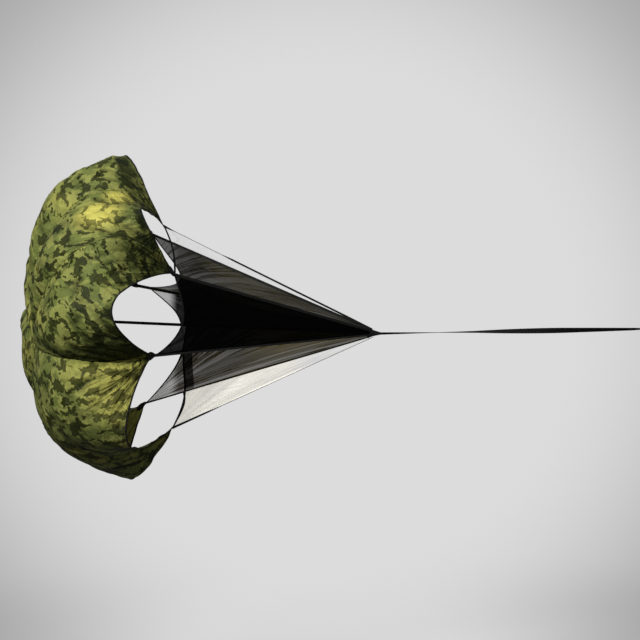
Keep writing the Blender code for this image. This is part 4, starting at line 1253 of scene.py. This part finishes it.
route = strap_route()
run = run_lengths(route[:, None, :])[:, 0]
twist = np.where(run < FOLD_STARTS, np.radians(np.interp(route[:, 0], *STRAP_TURNS)), np.pi)
across = np.stack([0 * twist, np.cos(twist), np.sin(twist)], axis=-1)
strap = strip_piece("strap", ribbon(route, across, STRAP_WIDTH, STRAP_THICKNESS), webbing)
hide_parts("tow_strap")
hook_parts = ["strap_eye", "swivel_washer", "snap_hook_body", "hook_gate", "gate_pin",
              "gate_spring"]
print("strap: %.3f m of webbing" % run[-1])

# %% [markdown]
# ## The snap hook keeps its solids
#
# The hook, its gate and the eye are rigid, and their solids already have the right shape. Only the
# finish changes: each node's material slot takes the plated metal.
# %% Hook finish
for name in hook_parts:
    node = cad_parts[name]
    finish = spring if name == "gate_spring" else nickel
    for place in node.material_slots:
        place.material = finish
print("plated:", len(hook_parts), "nodes")

# %% [markdown]
# ## Floor, room and light
#
# A pale, plain studio. The floor lies about as far below the tow line as a runner's belt is above
# the ground. It is half clear and fades out with the distance, and the glow that the camera sees
# on it is weaker to the left and the right. Behind it the camera sees a plain grey, a little
# darker towards the corners of the picture.
#
# The cloth sees another room: a dim ceiling over a dark ground, brighter for glossy rays, which
# give the nylon its sheen. One small lamp stands high at the front left, in the place of the sun,
# and a weak one fills from low in front.
# %% Studio
FLOOR_MIDDLE = (-0.9, 0.0, -1.02)
FLOOR_RADIUS = 4.2
FLOOR_RINGS = 24
FLOOR_SPOKES = 72
FLOOR_GLOW = (0.64, 0.64, 0.64)
BLACK = (0.0, 0.0, 0.0)
# distances at which the floor's glow and its opacity are halfway down, and how softly they fall
FLOOR_SIDES = (0.95, 0.65)
FLOOR_FADE = (1.7, 1.4)
# strength of the grey behind, by the cosine of the angle from the camera's line of sight
CORNER_TO_MIDDLE = (0.961, 0.991)
BACKGROUND = (0.40, 0.716)
# strength of the ceiling, by the upward part of a ray's direction
LOW_TO_HIGH = (-0.1, 1.0)
CEILING = (0.03, 0.34)
GLOSSY_EXTRA = 1.6
# name, place, the point that it shines at, width in metres and power in watts
LAMPS = (
    ("key", (-3.4, -2.5, 1.7), (-1.6, 0.0, 0.1), 0.7, 175.0),
    ("fill", (-1.9, -3.6, -0.3), (-1.6, 0.0, 0.0), 1.2, 22.0),
)


def add_floor():
    """A disc whose opacity falls with the distance, and its glow with the distance sideways."""
    turns = np.linspace(0, 2 * np.pi, FLOOR_SPOKES, endpoint=False)
    radius, turn = np.meshgrid(np.linspace(0.0005, FLOOR_RADIUS, FLOOR_RINGS), turns,
                               indexing="ij")
    points = np.stack([FLOOR_MIDDLE[0] + radius * np.cos(turn), radius * np.sin(turn),
                       FLOOR_MIDDLE[2] + 0 * radius], axis=-1)
    finish = Finish("floor")
    place = finish.solid_place()
    away = finish.vectors("DISTANCE", place, FLOOR_MIDDLE)
    level = camera_axes()[1] * [1.0, 1.0, 0.0]
    aside = finish.vectors("DOT_PRODUCT", place, tuple(level))
    aside = aside - float(np.array(camera.location) @ level)
    glow = finish.mix(aside.size().above(*FLOOR_SIDES), FLOOR_GLOW, BLACK)
    glow = finish.mix(finish.ray("Camera"), BLACK, glow)
    finish.set(Base_Color=(0.30, 0.30, 0.30), Roughness=0.9, Specular_IOR_Level=0.0,
               Emission_Color=glow, Emission_Strength=1.0,
               Alpha=(1 - away.above(*FLOOR_FADE)) * 0.5)
    faces = grid_faces(FLOOR_RINGS, FLOOR_SPOKES, closed=True)[:, ::-1]
    floor = make_piece("floor", points.reshape(-1, 3), [faces], finish.material)


def add_lamp(name, place, aim, size, power):
    """A round lamp whose own Z points away from what it shines at."""
    data = bpy.data.lights.new(name, "AREA")
    data.shape = "DISK"
    data.size = size
    data.energy = power
    away = unit(np.array(place) - np.array(aim))
    side = unit(np.cross([0.0, 0.0, 1.0], away))
    put_in_scene(bpy.data.objects.new(name, data), side, np.cross(away, side), away, place)


def light_room():
    """One strength for rays from the camera, also through the net, and another for the rest."""
    world = bpy.data.worlds.new("room")
    bpy.context.scene.world = world
    room = Nodes(world)
    heading = room.node("ShaderNodeTexCoord")
    ahead = room.vectors("DOT_PRODUCT", heading, tuple(-camera_axes()[0]))
    behind = room.spread(ahead, *CORNER_TO_MIDDLE, *BACKGROUND, smooth=True)
    ceiling = room.spread(room.part(heading, 2), *LOW_TO_HIGH, *CEILING)
    ceiling = ceiling * (room.ray("Glossy") * GLOSSY_EXTRA + 1.0)
    seen = (room.ray("Transmission") - room.ray("Diffuse")).at_least(room.ray("Camera"))
    strength = room.node("ShaderNodeMix", None, {0: seen, 2: ceiling, 3: behind})
    shine = room.tree.nodes["Background"]
    room.connect((1.0, 1.0, 1.0), shine.inputs["Color"])
    room.connect(strength, shine.inputs["Strength"])


add_floor()
for lamp in LAMPS:
    add_lamp(*lamp)
light_room()
bpy.context.scene.view_settings.view_transform = "Standard"
print("studio ready")
